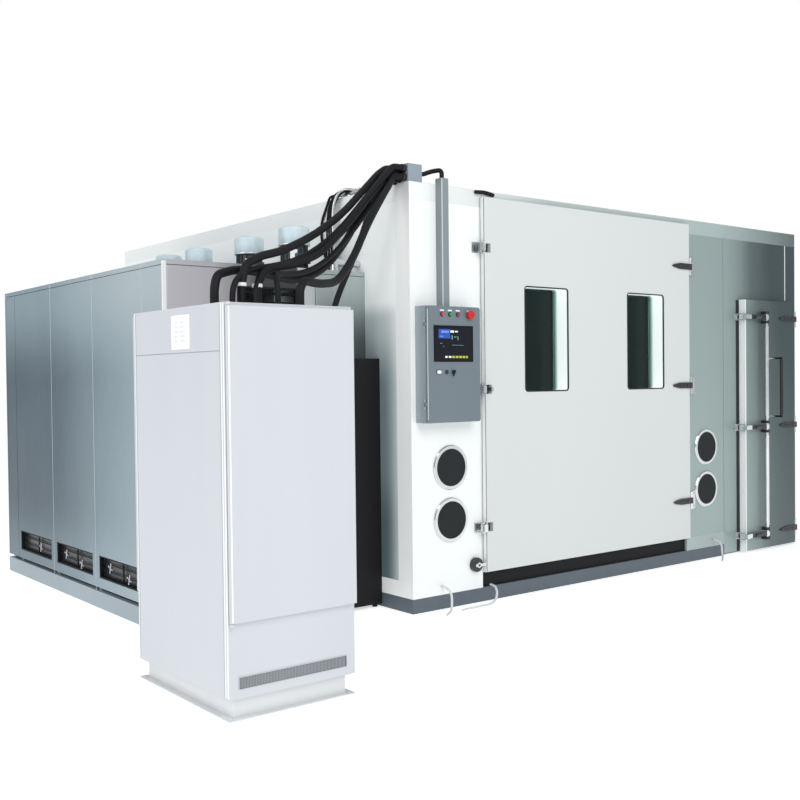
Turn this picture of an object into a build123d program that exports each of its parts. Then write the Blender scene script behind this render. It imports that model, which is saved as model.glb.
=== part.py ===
from build123d import *
import math
import os

# Walk-in environmental test chamber. Millimetres, Z up.
# While it is drawn, X runs along the chamber's front from its left corner, Y runs into the
# chamber from its front face, and Z is the height above the floor. Each piece is moved at
# the end so that the origin lies on the floor under the middle of the whole machine.

# Chamber shell
CHAMBER_WIDTH = 4490
CHAMBER_DEPTH = 4450
BASE_HEIGHT = 95
FLOOR_THICKNESS = 105
WALL_HEIGHT = 2485
ROOF_THICKNESS = 115
WALL = 150
CHANNEL_WEB = 8
CHANNEL_FLANGE = 60
JOIST_COUNT = 5

# Main doorway and its leaf
OPENING_LEFT = 703
OPENING_WIDTH = 2085
OPENING_HEIGHT = 2400
LINING = 20
LEAF_LAP = 90
LEAF_LAP_TOP = 155
LEAF_SLAB = 30
LEAF_FLOOR_GAP = 4
THRESHOLD_RECESS = 40
SEAL_GAP = 10
PLUG_DEPTH = 120
PLUG_CLEARANCE = 15
GASKET_WIDTH = 30
GASKET_CLEARANCE = 0.5
WINDOW_WIDTH = 446
WINDOW_HEIGHT = 740
WINDOW_SILL = 1228
WINDOW_SPREAD = 1103
WINDOW_SHIFT = 25
WINDOW_CORNER = 25
PANE = 8
PANE_RECESS = 6

# Hinges of the main leaf
HINGE_SIDE_GAP = 18
HINGE_AXIS_OUT = 34
HINGE_HEIGHTS = (511, 1450, 2410)
BARREL_RADIUS = 16
PIN_RADIUS = 8
PIN_CLEARANCE = 0.05
KNUCKLE = 50
KNUCKLE_GAP = 1
STRAP_LENGTH = 245
STRAP_HEIGHT = 48
STRAP_THICKNESS = 10
BRACKET_THICKNESS = 8
BRACKET_WIDTH = 65
BRACKET_HEIGHT = 140

# Locking bar of the main leaf, hidden in its free edge
BAR_RADIUS = 8
BAR_INSET = 14
BAR_DEPTH_IN_SLAB = 15
BAR_MARGIN = 60
CAM_POCKET = 50
CAM_REACH = 52
NIB_ANGLE = 205
CAM_HEIGHT = 50
NIB_RADIUS = 7
NIB_CLEARANCE = 1.5
JAW = 12
LEVER_LENGTH = 110

# Personnel door
SIDE_PANEL_LEFT = 3393
JOINT_STRIP = 40
STRIP_PROUD = 3
SKIRT_BOTTOM = 15
SKIRT_THICKNESS = 30
DOOR_OPENING_LEFT = 3680
DOOR_OPENING_WIDTH = 630
DOOR_OPENING_HEIGHT = 1900
DOOR_LAP = 75
DOOR_LAP_BOTTOM = 185
DOOR_SLAB = 52
DOOR_PLUG = 100
DOOR_HINGE_HEIGHTS = (150, 1080, 2025)
DOOR_STRAP_LENGTH = 270
DOOR_HINGE_OUT = 45
BOLT_BAR_RADIUS = 13
BOLT_BAR_INSET = 275
BOLT_BAR_OUT = 40
BOLT_BAR_LENGTH = 1950
BOLT_NIB_OUT = 92
BOLT_NIB_INSET = 30
ARM_HEIGHT = 36
HANDLE_REACH = 130
HANDLE_HEIGHT = 500
HANDLE_ROD = 8

# Cable ports
PORT_HEIGHTS = (585, 935)
PORT_LEFT = 328
PORT_RIGHT = 3138
PORT_BORE = 125
PORT_WALL = 3
PORT_FLANGE = 150
PORT_PROUD = 12
PLUG_GAP = 0.5
PLUG_RECESS = 4
PLUG_LENGTH = 120

# Drain valve on the left column
VALVE_X = 541
VALVE_HEIGHT = 262
VALVE_RADIUS = 48
VALVE_DEPTH = 34
LEVER_ARM = 90

# Control box on the left column
BOX_LEFT = 40
BOX_WIDTH = 462
BOX_BOTTOM = 1240
BOX_HEIGHT = 755
BOX_DEPTH = 103
BOX_SHEET = 4
LID_THICKNESS = 12
LID_CORNER = 20
LID_BARREL = 6
LID_PIN = 3
SCREEN_WIDTH = 338
SCREEN_HEIGHT = 236
SCREEN_LEFT = 59
SCREEN_BOTTOM = 394
SCREEN_PROUD = 3
BUTTON_ROW = 702
LAMP_PLACES = (130, 266)
RUN_PLACE = 198
STOP_PLACE = 362
BUTTON_RADIUS = 11
BEZEL_RADIUS = 15
BUTTON_TRAVEL = 4
STOP_RADIUS = 28
KEY_ROW = 328
SOCKET_PLACE = 100
COVER_PLACE = 166
KEY_PLACE = 222

# Trunking and junction box
TRUNK_X = 224
TRUNK_WIDTH = 60
TRUNK_DEPTH = 60
TRUNK_TOP = 2835
JUNCTION_SIZE = (115, 145, 115)
JUNCTION_BACK = 5

# Machine room beside the chamber
ROOM_WIDTH = 1480
ROOM_FRONT = 490
ROOM_DEPTH = 2940
ROOM_HEIGHT = 2256
ROOM_BASE = 112
PANEL = 30
PANEL_BOTTOM = 140
PANEL_GAP = 6
POST = 40
DECK = 6
END_PANEL = 310
CORNER_RETURN = 515
CORNER_ROUND = 30
VENT_COUNT = 3
VENT_WIDTH = 684
VENT_HEIGHT = 152
VENT_BOTTOM = 206
LOUVRE_LEFT = 521
LOUVRE_RIGHT = 1073
OUTLET_WIDTH = 400
OUTLET_BOTTOM = 1400
OUTLET_TOP = 2120
BLADE_COUNT = 12

# Circulation fans
FAN_X = -340
FAN_PLACES = (840, 1450, 2240, 2775)
MOTOR_FLANGE = 125
MOTOR_RADIUS = 84
MOTOR_HEIGHT = 190
COWL_RADIUS = 107
COWL_HEIGHT = 128
SHAFT_RADIUS = 12
WHEEL_RADIUS = 170
WHEEL_HEIGHT = 110
WHEEL_DROP = 250
WHEEL_BLADES = 12

# Insulated air duct and what is in it
DUCT_WIDTH = 640
DUCT_FRONT = 620
DUCT_LENGTH = 2400
DUCT_BOTTOM = 1300
DUCT_SKIN = 40
SUPPLY_BOTTOM = 1960
SUPPLY_HEIGHT = 220
RETURN_BOTTOM = 1400
RETURN_HEIGHT = 220
COIL_HEIGHT = 300

# Compressors
COMPRESSOR_RADIUS = 150
COMPRESSOR_LENGTH = 620
COMPRESSOR_INSET = 350
COMPRESSOR_PLACES = (1210, 2015, 2815)

# Service cabinet between machine room and chamber
SERVICE_WIDTH = 600
SERVICE_DEPTH = 156
SERVICE_HEIGHT = 1645
SERVICE_BOTTOM = 20

# Electrical cabinet
CAB_LEFT = -1965
CAB_WIDTH = 688
CAB_FRONT = -1132
CAB_DEPTH = 947
CAB_TOP = 1876
CAB_SHEET = 25
PLINTH_HEIGHT = 100
PLINTH_INSET = 35
FLANGE_THICKNESS = 6
ANCHOR_INSET = 18
ANCHOR_RADIUS = 7
CAB_DOOR = 28
CAB_DOOR_BOTTOM = 447
CAB_DOOR_GAP = 1
CAB_ROUND = 8
CAB_PIN = 6
GRILLE_SLOTS = 16
GRILLE_BOTTOM = 142
GRILLE_HEIGHT = 54

# Cables and hoses
CABLE = 44
GLAND_RADIUS = 26
GLAND_LENGTH = 26
HOSE = 16

CHAMBER_HEIGHT = BASE_HEIGHT + FLOOR_THICKNESS + WALL_HEIGHT + ROOF_THICKNESS
DECK_TOP = BASE_HEIGHT + FLOOR_THICKNESS
WALL_TOP = DECK_TOP + WALL_HEIGHT
OPENING_RIGHT = OPENING_LEFT + OPENING_WIDTH
OPENING_TOP = DECK_TOP + OPENING_HEIGHT
LEAF_LEFT = OPENING_LEFT - LEAF_LAP
LEAF_RIGHT = OPENING_RIGHT + LEAF_LAP
LEAF_BOTTOM = DECK_TOP + LEAF_FLOOR_GAP
LEAF_TOP = OPENING_TOP + LEAF_LAP_TOP
LEAF_BACK = -SEAL_GAP
LEAF_FACE = LEAF_BACK - LEAF_SLAB
HINGE_X = LEAF_RIGHT + HINGE_SIDE_GAP
HINGE_Y = -HINGE_AXIS_OUT
BAR_X = LEAF_LEFT + BAR_INSET
BAR_Y = LEAF_BACK - BAR_DEPTH_IN_SLAB
DOOR_OPENING_RIGHT = DOOR_OPENING_LEFT + DOOR_OPENING_WIDTH
DOOR_OPENING_TOP = DECK_TOP + DOOR_OPENING_HEIGHT
DOOR_LEFT = DOOR_OPENING_LEFT - DOOR_LAP
DOOR_RIGHT = DOOR_OPENING_RIGHT + DOOR_LAP
DOOR_TOP = DOOR_OPENING_TOP + DOOR_LAP
DOOR_BOTTOM = DECK_TOP - DOOR_LAP_BOTTOM
DOOR_FACE = LEAF_BACK - DOOR_SLAB
DOOR_HINGE_X = DOOR_RIGHT + HINGE_SIDE_GAP
DOOR_HINGE_Y = -DOOR_HINGE_OUT
BOLT_X = DOOR_LEFT + BOLT_BAR_INSET
BOLT_Y = DOOR_FACE - BOLT_BAR_OUT
ROOM_LEFT = -ROOM_WIDTH
COMPRESSOR_X = ROOM_LEFT + COMPRESSOR_INSET
ROOM_BACK = ROOM_FRONT + ROOM_DEPTH
ROOM_WALL_TOP = ROOM_HEIGHT - PANEL
CAB_RIGHT = CAB_LEFT + CAB_WIDTH
CAB_BACK = CAB_FRONT + CAB_DEPTH
BOX_RIGHT = BOX_LEFT + BOX_WIDTH
BOX_TOP = BOX_BOTTOM + BOX_HEIGHT
LID_FACE = -BOX_DEPTH - LID_THICKNESS


def block(x0, x1, y0, y1, z0, z1):
    """A rectangular solid between two opposite corners."""
    middle = Pos((x0 + x1) / 2, (y0 + y1) / 2, (z0 + z1) / 2)
    return middle * Box(x1 - x0, y1 - y0, z1 - z0)


def bar_x(x0, x1, y, z, radius):
    """A round bar along X."""
    return Pos((x0 + x1) / 2, y, z) * Rot(0, 90, 0) * Cylinder(radius, x1 - x0)


def bar_y(x, y0, y1, z, radius):
    """A round bar along Y."""
    return Pos(x, (y0 + y1) / 2, z) * Rot(90, 0, 0) * Cylinder(radius, y1 - y0)


def bar_z(x, y, z0, z1, radius):
    """A round bar along Z."""
    return Pos(x, y, (z0 + z1) / 2) * Cylinder(radius, z1 - z0)


def group(solids):
    """Several solids kept apart in one node."""
    return Compound(children=[part for item in solids for part in item.solids()])


def tube(points, diameter, name):
    """A round cord along straight runs joined by arcs as large as the runs allow."""
    corners = [Vector(*point) for point in points]
    radii = []
    for before, here, after in zip(corners, corners[1:], corners[2:]):
        run_in = here - before
        run_out = after - here
        turn = math.radians(run_in.get_angle(run_out))
        radii.append(0.45 * min(run_in.length, run_out.length) / math.tan(turn / 2))
    print(name, "arc radii", [round(radius) for radius in radii])
    path = FilletPolyline(*corners, radius=radii)
    section = Plane(path @ 0, z_dir=path % 0) * Circle(diameter / 2)
    return sweep(section, path)


def channel_rail(length, height, flange):
    """A C channel lying along X with its web on the outer side, at Y 0."""
    web = block(0, length, 0, CHANNEL_WEB, 0, height)
    low = block(0, length, 0, flange, 0, CHANNEL_WEB)
    high = block(0, length, 0, flange, height - CHANNEL_WEB, height)
    return web + low + high


def channel_ring(width, depth, height):
    """Four channels welded to a rectangle, webs outwards, and cross joists."""
    front = channel_rail(width, height, CHANNEL_FLANGE)
    rear = Pos(width, depth, 0) * Rot(0, 0, 180) * front
    side = channel_rail(depth, height, CHANNEL_FLANGE)
    right = Pos(width, 0, 0) * Rot(0, 0, 90) * side
    left = Pos(0, depth, 0) * Rot(0, 0, -90) * side
    ring = front + rear + left + right
    for number in range(1, JOIST_COUNT + 1):
        y = depth * number / (JOIST_COUNT + 1)
        joist = block(
            CHANNEL_WEB, width - CHANNEL_WEB, y - CHANNEL_FLANGE / 2, y + CHANNEL_FLANGE / 2, 0, height
        )
        ring = ring + joist
    return ring


def doorway_ring(x0, x1, z0, z1, y0, y1, wall, with_sill):
    """Bars round a doorway: a head, two jambs under it and, if asked, a sill between them."""
    bars = [
        block(x0, x1, y0, y1, z1 - wall, z1),
        block(x0, x0 + wall, y0, y1, z0, z1 - wall),
        block(x1 - wall, x1, y0, y1, z0, z1 - wall),
    ]
    if with_sill:
        bars.append(block(x0 + wall, x1 - wall, y0, y1, z0, z0 + wall))
    return bars


def base_frame():
    """Welded channel frame that carries the chamber floor."""
    return channel_ring(CHAMBER_WIDTH, CHAMBER_DEPTH, BASE_HEIGHT) - block(
        SIDE_PANEL_LEFT, CHAMBER_WIDTH, 0, SKIRT_THICKNESS, 0, BASE_HEIGHT
    )



def floor_panel():
    """Insulated floor slab under the walls, set back under the main leaf."""
    slab = block(0, CHAMBER_WIDTH, 0, CHAMBER_DEPTH, BASE_HEIGHT, DECK_TOP)
    slab = slab - block(LEAF_LEFT, LEAF_RIGHT, 0, THRESHOLD_RECESS, BASE_HEIGHT, DECK_TOP)
    return slab - block(SIDE_PANEL_LEFT, CHAMBER_WIDTH, 0, SKIRT_THICKNESS, BASE_HEIGHT, DECK_TOP)


def door_threshold():
    """Dark nosing in the recess under the main leaf."""
    nose = block(
        LEAF_LEFT, LEAF_RIGHT, THRESHOLD_RECESS / 2, THRESHOLD_RECESS, BASE_HEIGHT, DECK_TOP
    )
    lip = block(
        OPENING_LEFT, OPENING_RIGHT, 2, THRESHOLD_RECESS, DECK_TOP - 12, DECK_TOP
    )
    return nose + lip


def left_wall():
    """Insulated side wall with the two air openings to the duct."""
    wall = block(0, WALL, WALL, CHAMBER_DEPTH, DECK_TOP, WALL_TOP)
    air_front = DUCT_FRONT + DUCT_SKIN
    air_back = DUCT_FRONT + DUCT_LENGTH - DUCT_SKIN
    for bottom, height in ((SUPPLY_BOTTOM, SUPPLY_HEIGHT), (RETURN_BOTTOM, RETURN_HEIGHT)):
        wall = wall - block(0, WALL, air_front, air_back, bottom, bottom + height)
    return wall


def wall_panels():
    """Right wall and rear wall."""
    right = block(CHAMBER_WIDTH - WALL, CHAMBER_WIDTH, WALL, CHAMBER_DEPTH, DECK_TOP, WALL_TOP)
    rear = block(WALL, CHAMBER_WIDTH - WALL, CHAMBER_DEPTH - WALL, CHAMBER_DEPTH, DECK_TOP, WALL_TOP)
    return group([right, rear])


def roof_panel():
    """Insulated roof over all four walls."""
    return block(0, CHAMBER_WIDTH, 0, CHAMBER_DEPTH, WALL_TOP, CHAMBER_HEIGHT)


def port_holes(panel, x):
    """Cuts the two cable port holes through a front panel."""
    for z in PORT_HEIGHTS:
        panel = panel - bar_y(x, 0, WALL, z, PORT_BORE + PORT_WALL)
    return panel


def front_left_column():
    """Front panel left of the main doorway."""
    return port_holes(block(0, OPENING_LEFT, 0, WALL, DECK_TOP, WALL_TOP), PORT_LEFT)


def front_right_column():
    """Front panel between the two doorways, as far as the joint strip."""
    return port_holes(
        block(OPENING_RIGHT, SIDE_PANEL_LEFT, 0, WALL, DECK_TOP, WALL_TOP), PORT_RIGHT
    )


def front_panels():
    """Header over the main doorway, and the panel round the personnel doorway with its skirt."""
    header = block(OPENING_LEFT, OPENING_RIGHT, 0, WALL, OPENING_TOP, WALL_TOP)
    side = block(SIDE_PANEL_LEFT, CHAMBER_WIDTH, 0, WALL, DECK_TOP, WALL_TOP)
    side = side - block(
        DOOR_OPENING_LEFT, DOOR_OPENING_RIGHT, 0, WALL, DECK_TOP, DOOR_OPENING_TOP
    )
    side = side + block(
        SIDE_PANEL_LEFT, SIDE_PANEL_LEFT + JOINT_STRIP, -STRIP_PROUD, 0, DECK_TOP, WALL_TOP
    )
    skirt = block(SIDE_PANEL_LEFT, CHAMBER_WIDTH, 0, SKIRT_THICKNESS, SKIRT_BOTTOM, DECK_TOP)
    return group([header, side, skirt])


def door_frames():
    """Steel linings of both doorways."""
    main = doorway_ring(
        OPENING_LEFT, OPENING_RIGHT, DECK_TOP, OPENING_TOP, 0, WALL, LINING, False
    )
    side = doorway_ring(
        DOOR_OPENING_LEFT, DOOR_OPENING_RIGHT, DECK_TOP, DOOR_OPENING_TOP, 0, WALL, LINING, True
    )
    return group(main + side)


def door_gaskets():
    """Silicone seals that the two leaves press against."""
    thick = SEAL_GAP - GASKET_CLEARANCE
    inset = (LEAF_LAP - GASKET_WIDTH) / 2
    main = doorway_ring(
        LEAF_LEFT + inset, LEAF_RIGHT - inset, DECK_TOP + LEAF_FLOOR_GAP,
        LEAF_TOP - inset, -thick, 0, GASKET_WIDTH, False,
    )
    side_inset = (DOOR_LAP - GASKET_WIDTH) / 2
    side = doorway_ring(
        DOOR_LEFT + side_inset, DOOR_RIGHT - side_inset, DOOR_BOTTOM + side_inset,
        DOOR_TOP - side_inset, -thick, 0, GASKET_WIDTH, True,
    )
    return group(main + side)


def air_baffle():
    """Slotted steel tray on the left wall that spreads the air."""
    depth = 70
    sheet = 3
    y0 = DUCT_FRONT
    y1 = DUCT_FRONT + DUCT_LENGTH
    z0 = RETURN_BOTTOM - 80
    z1 = SUPPLY_BOTTOM + SUPPLY_HEIGHT + 80
    tray = block(WALL, WALL + depth, y0, y1, z0, z1)
    tray = tray - block(WALL, WALL + depth - sheet, y0 + sheet, y1 - sheet, z0 + sheet, z1 - sheet)
    slots = 12
    pitch = (y1 - y0) / slots
    for bottom, height in ((SUPPLY_BOTTOM, SUPPLY_HEIGHT), (RETURN_BOTTOM, RETURN_HEIGHT)):
        for number in range(slots):
            middle = y0 + pitch * (number + 0.5)
            tray = tray - block(
                WALL + depth - sheet, WALL + depth, middle - pitch / 3, middle + pitch / 3,
                bottom + 20, bottom + height - 20,
            )
    return tray


def port_rings():
    """Steel sleeves of the cable ports, each with its front flange."""
    rings = []
    for x in (PORT_LEFT, PORT_RIGHT):
        for z in PORT_HEIGHTS:
            sleeve = bar_y(x, 0, WALL, z, PORT_BORE + PORT_WALL)
            flange = bar_y(x, -PORT_PROUD, 0, z, PORT_FLANGE)
            flange = chamfer(flange.faces().sort_by(Axis.Y)[0].edges(), PORT_PROUD / 2)
            rings.append(sleeve + flange - bar_y(x, -PORT_PROUD, WALL, z, PORT_BORE))
    return group(rings)


def port_plug(x, z):
    """Silicone plug that slides out of a cable port."""
    front = -PORT_PROUD + PLUG_RECESS
    plug = bar_y(x, front, front + PLUG_LENGTH, z, PORT_BORE - PLUG_GAP)
    return plug


def main_leaf():
    """Insulated leaf: a slab that laps the doorway and a plug that fills it."""
    slab = block(LEAF_LEFT, LEAF_RIGHT, LEAF_FACE, LEAF_BACK, LEAF_BOTTOM, LEAF_TOP)
    slab = chamfer(slab.faces().sort_by(Axis.Y)[0].edges(), 4)
    side = LINING + PLUG_CLEARANCE
    plug = block(
        OPENING_LEFT + side, OPENING_RIGHT - side, LEAF_BACK, PLUG_DEPTH,
        DECK_TOP + PLUG_CLEARANCE, OPENING_TOP - side,
    )
    leaf = slab + plug
    for x in window_middles():
        leaf = leaf - window_hole(x, LEAF_FACE, PLUG_DEPTH, 0)
    z0 = HINGE_HEIGHTS[0] - BAR_MARGIN
    z1 = HINGE_HEIGHTS[-1] + BAR_MARGIN
    leaf = leaf - bar_z(BAR_X, BAR_Y, z0 - 1, z1 + 1, BAR_RADIUS + PIN_CLEARANCE)
    for z in HINGE_HEIGHTS:
        leaf = leaf - block(
            LEAF_LEFT, BAR_X + CAM_POCKET, LEAF_FACE, LEAF_BACK,
            z - CAM_HEIGHT / 2 - 6, z + CAM_HEIGHT / 2 + 6,
        )
    return leaf


def window_middles():
    """X of the two window centres."""
    middle = (OPENING_LEFT + OPENING_RIGHT) / 2 + WINDOW_SHIFT
    return (middle - WINDOW_SPREAD / 2, middle + WINDOW_SPREAD / 2)


def window_hole(x, y0, y1, smaller):
    """A window's rounded outline as a solid from y0 to y1."""
    z = DECK_TOP + WINDOW_SILL + WINDOW_HEIGHT / 2
    outline = RectangleRounded(
        WINDOW_WIDTH - 2 * smaller, WINDOW_HEIGHT - 2 * smaller, WINDOW_CORNER - smaller
    )
    return extrude(Plane((x, y1, z), x_dir=(1, 0, 0), z_dir=(0, -1, 0)) * outline, y1 - y0)


def window_panes():
    """Outer and inner panes of both windows, held in a rubber bead."""
    panes = []
    for x in window_middles():
        outer = LEAF_FACE + PANE_RECESS
        inner = PLUG_DEPTH - PANE_RECESS - PANE
        panes.append(window_hole(x, outer, outer + PANE, 0))
        panes.append(window_hole(x, inner, inner + PANE, 0))
    return group(panes)


def strap_hinges(axis_x, axis_y, face_y, edge_x, heights, length):
    """Moving halves: pointed straps on the leaf's face and their middle knuckles."""
    straps = []
    plate_face = face_y - STRAP_THICKNESS
    half = STRAP_HEIGHT / 2
    for z in heights:
        outline = Polyline(
            (axis_x, z - half), (axis_x, z + half), (axis_x - length * 0.6, z + half),
            (axis_x - length * 0.9, z + half * 0.5), (axis_x - length, z),
            (axis_x - length * 0.9, z - half * 0.5), (axis_x - length * 0.6, z - half), close=True,
        )
        plate = extrude(Plane((0, face_y, 0), x_dir=(1, 0, 0), z_dir=(0, -1, 0)) * make_face(outline),
                        STRAP_THICKNESS)
        knuckle = bar_z(axis_x, axis_y, z - half, z + half, BARREL_RADIUS)
        web = block(edge_x + 2, axis_x, plate_face, axis_y, z - half, z + half)
        strap = plate + knuckle + web
        hole = bar_z(axis_x, axis_y, z - half, z + half, PIN_RADIUS + PIN_CLEARANCE)
        straps.append(strap - hole)
    return group(straps)


def hinge_brackets(axis_x, axis_y, heights):
    """Fixed halves: plates on the front face, outer knuckles and the pins in them."""
    brackets = []
    half = STRAP_HEIGHT / 2 + KNUCKLE_GAP
    top = BRACKET_HEIGHT / 2
    for z in heights:
        plate = block(axis_x + 22, axis_x + 22 + BRACKET_WIDTH, -BRACKET_THICKNESS, 0, z - top, z + top)
        piece = plate + bar_z(axis_x, axis_y, z - top, z + top, PIN_RADIUS)
        for low, high in ((-top, -half), (half, top)):
            piece = piece + bar_z(axis_x, axis_y, z + low, z + high, BARREL_RADIUS)
            piece = piece + block(
                axis_x, axis_x + 22 + BRACKET_THICKNESS, axis_y, axis_y + 14, z + low, z + high
            )
            piece = piece + block(
                axis_x + 22, axis_x + 22 + BRACKET_THICKNESS, axis_y, 0, z + low, z + high
            )
        brackets.append(piece)
    return brackets


def nib_angle(reach_x, reach_y):
    """Direction from a locking bar to its nib, in degrees."""
    return math.degrees(math.atan2(reach_y, reach_x))


def polar(x, y, radius, degrees):
    """A point at a radius and angle about a vertical axis."""
    return (x + radius * math.cos(math.radians(degrees)), y + radius * math.sin(math.radians(degrees)))


def sector(x, y, r0, r1, a0, a1, z0, z1):
    """A ring sector about a vertical axis, between two angles."""
    middle = (a0 + a1) / 2
    outline = make_face([
        Polyline(polar(x, y, r1, a0), polar(x, y, r0, a0)),
        ThreePointArc(polar(x, y, r0, a0), polar(x, y, r0, middle), polar(x, y, r0, a1)),
        Polyline(polar(x, y, r0, a1), polar(x, y, r1, a1)),
        ThreePointArc(polar(x, y, r1, a1), polar(x, y, r1, middle), polar(x, y, r1, a0)),
    ])
    return extrude(Plane.XY.offset(z0) * outline, z1 - z0)


def cam_claw(x, y, reach, angle, arm_width, z, height):
    """A claw on a locking bar: its slot slides over the nib as the bar turns."""
    room = NIB_RADIUS + NIB_CLEARANCE
    reach_in = reach - room - JAW
    reach_out = reach + room + JAW
    step = math.degrees((NIB_RADIUS + NIB_CLEARANCE) / reach)
    z0 = z - height / 2
    z1 = z + height / 2
    jaw_turn = 2 * step + math.degrees(JAW / reach)
    claw = sector(x, y, reach_in, reach_out, angle - step, angle + jaw_turn, z0, z1)
    claw = claw - sector(x, y, reach - room, reach + room, angle - 2 * step, angle + step, z0, z1)
    arm = Pos(x, y, z) * Rot(0, 0, angle + step) * Pos((reach_in + 4) / 2, 0, 0) * Box(
        reach_in + 4, arm_width, height
    )
    return claw + arm


def keeper(x, y, z, height, plate_x0, plate_x1):
    """A keeper on the front face: two ears that hold the vertical nib."""
    half = height / 2 + 3
    ear = 8
    piece = block(plate_x0, plate_x1, -BRACKET_THICKNESS, 0, z - half - ear, z + half + ear)
    for low, high in ((-half - ear, -half), (half, half + ear)):
        piece = piece + block(x - 9, x + 9, y, 0, z + low, z + high)
        piece = piece + bar_z(x, y, z + low, z + high, 9)
    return piece + bar_z(x, y, z - half, z + half, NIB_RADIUS)


MAIN_NIB_X, MAIN_NIB_Y = polar(BAR_X, BAR_Y, CAM_REACH, NIB_ANGLE)
SIDE_NIB_X = DOOR_LEFT - BOLT_NIB_INSET
SIDE_NIB_Y = -BOLT_NIB_OUT
SIDE_REACH = math.hypot(BOLT_X - SIDE_NIB_X, SIDE_NIB_Y - BOLT_Y)
SIDE_ANGLE = math.degrees(math.atan2(SIDE_NIB_Y - BOLT_Y, SIDE_NIB_X - BOLT_X))


def main_locking_bar():
    """Bar in the leaf's free edge with three claws and a short lever."""
    z0 = HINGE_HEIGHTS[0] - BAR_MARGIN
    z1 = HINGE_HEIGHTS[-1] + BAR_MARGIN
    bar = bar_z(BAR_X, BAR_Y, z0, z1, BAR_RADIUS)
    for z in HINGE_HEIGHTS:
        bar = bar + bar_z(BAR_X, BAR_Y, z - CAM_HEIGHT / 2, z + CAM_HEIGHT / 2, 12)
        bar = bar + cam_claw(BAR_X, BAR_Y, CAM_REACH, NIB_ANGLE, 16, z, CAM_HEIGHT)
    middle = HINGE_HEIGHTS[1]
    lever = Pos(BAR_X, BAR_Y, middle) * Rot(0, 0, -105) * Pos(LEVER_LENGTH / 2, 0, 0) * Box(
        LEVER_LENGTH, 14, 30
    )
    return bar + lever


def door_brackets():
    """Everything fixed to the front face that the two leaves hang on or lock into."""
    pieces = hinge_brackets(HINGE_X, HINGE_Y, HINGE_HEIGHTS)
    pieces += hinge_brackets(DOOR_HINGE_X, DOOR_HINGE_Y, DOOR_HINGE_HEIGHTS)
    for z in HINGE_HEIGHTS:
        pieces.append(keeper(MAIN_NIB_X, MAIN_NIB_Y, z, CAM_HEIGHT, MAIN_NIB_X - 45, MAIN_NIB_X + 15))
    for z in DOOR_HINGE_HEIGHTS:
        pieces.append(keeper(SIDE_NIB_X, SIDE_NIB_Y, z, ARM_HEIGHT, SIDE_NIB_X - 45, SIDE_NIB_X + 15))
    return group(pieces)


def personnel_door():
    """Small insulated leaf with the bearings of its locking bar."""
    slab = block(DOOR_LEFT, DOOR_RIGHT, DOOR_FACE, LEAF_BACK, DOOR_BOTTOM, DOOR_TOP)
    slab = chamfer(slab.faces().sort_by(Axis.Y)[0].edges(), 4)
    side = LINING + PLUG_CLEARANCE
    plug = block(
        DOOR_OPENING_LEFT + side, DOOR_OPENING_RIGHT - side, LEAF_BACK, DOOR_PLUG,
        DECK_TOP + side, DOOR_OPENING_TOP - side,
    )
    return slab + plug


def bolt_bearings():
    """Bearing blocks on the personnel door that carry its locking bar."""
    blocks = []
    for z in DOOR_HINGE_HEIGHTS:
        for side in (-1, 1):
            middle = z + side * 40
            body = block(BOLT_X - 24, BOLT_X + 24, BOLT_Y - 6, DOOR_FACE, middle - 12, middle + 12)
            body = body + bar_z(BOLT_X, BOLT_Y, middle - 12, middle + 12, 24)
            blocks.append(body - bar_z(BOLT_X, BOLT_Y, middle - 12, middle + 12,
                                       BOLT_BAR_RADIUS + PIN_CLEARANCE))
    return group(blocks)


def personnel_bar():
    """Outside locking bar of the personnel door: bar, three claw arms and a loop handle."""
    middle = DOOR_HINGE_HEIGHTS[1]
    z0 = middle - BOLT_BAR_LENGTH / 2
    z1 = middle + BOLT_BAR_LENGTH / 2
    bar = bar_z(BOLT_X, BOLT_Y, z0, z1, BOLT_BAR_RADIUS)
    for z in DOOR_HINGE_HEIGHTS:
        bar = bar + bar_z(BOLT_X, BOLT_Y, z - ARM_HEIGHT / 2, z + ARM_HEIGHT / 2, 22)
        bar = bar + cam_claw(BOLT_X, BOLT_Y, SIDE_REACH, SIDE_ANGLE, 18, z, ARM_HEIGHT)
    low = middle + 90
    high = low + HANDLE_HEIGHT
    turn = Pos(BOLT_X, BOLT_Y, 0) * Rot(0, 0, -80)
    for z in (low, high):
        bar = bar + turn * bar_x(0, HANDLE_REACH, 0, z, HANDLE_ROD)
    bar = bar + turn * bar_z(HANDLE_REACH, 0, low - HANDLE_ROD, high + HANDLE_ROD, HANDLE_ROD)
    return bar


def drain_valve():
    """Round valve body on the left column."""
    body = bar_y(VALVE_X, -VALVE_DEPTH, 0, VALVE_HEIGHT, VALVE_RADIUS)
    body = chamfer(body.faces().sort_by(Axis.Y)[0].edges(), 6)
    return body + bar_y(VALVE_X, -VALVE_DEPTH - 14, -VALVE_DEPTH, VALVE_HEIGHT, 8)


def drain_lever():
    """Lever of the drain valve, on its spindle."""
    y0 = -VALVE_DEPTH - 12
    y1 = -VALVE_DEPTH - 1
    hub = bar_y(VALVE_X, y0, y1, VALVE_HEIGHT, 18)
    arm = block(VALVE_X - 30, VALVE_X + LEVER_ARM - 30, y0, y1, VALVE_HEIGHT - 9, VALVE_HEIGHT + 9)
    return hub + arm - bar_y(VALVE_X, y0, y1, VALVE_HEIGHT, 8 + PIN_CLEARANCE)


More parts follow.
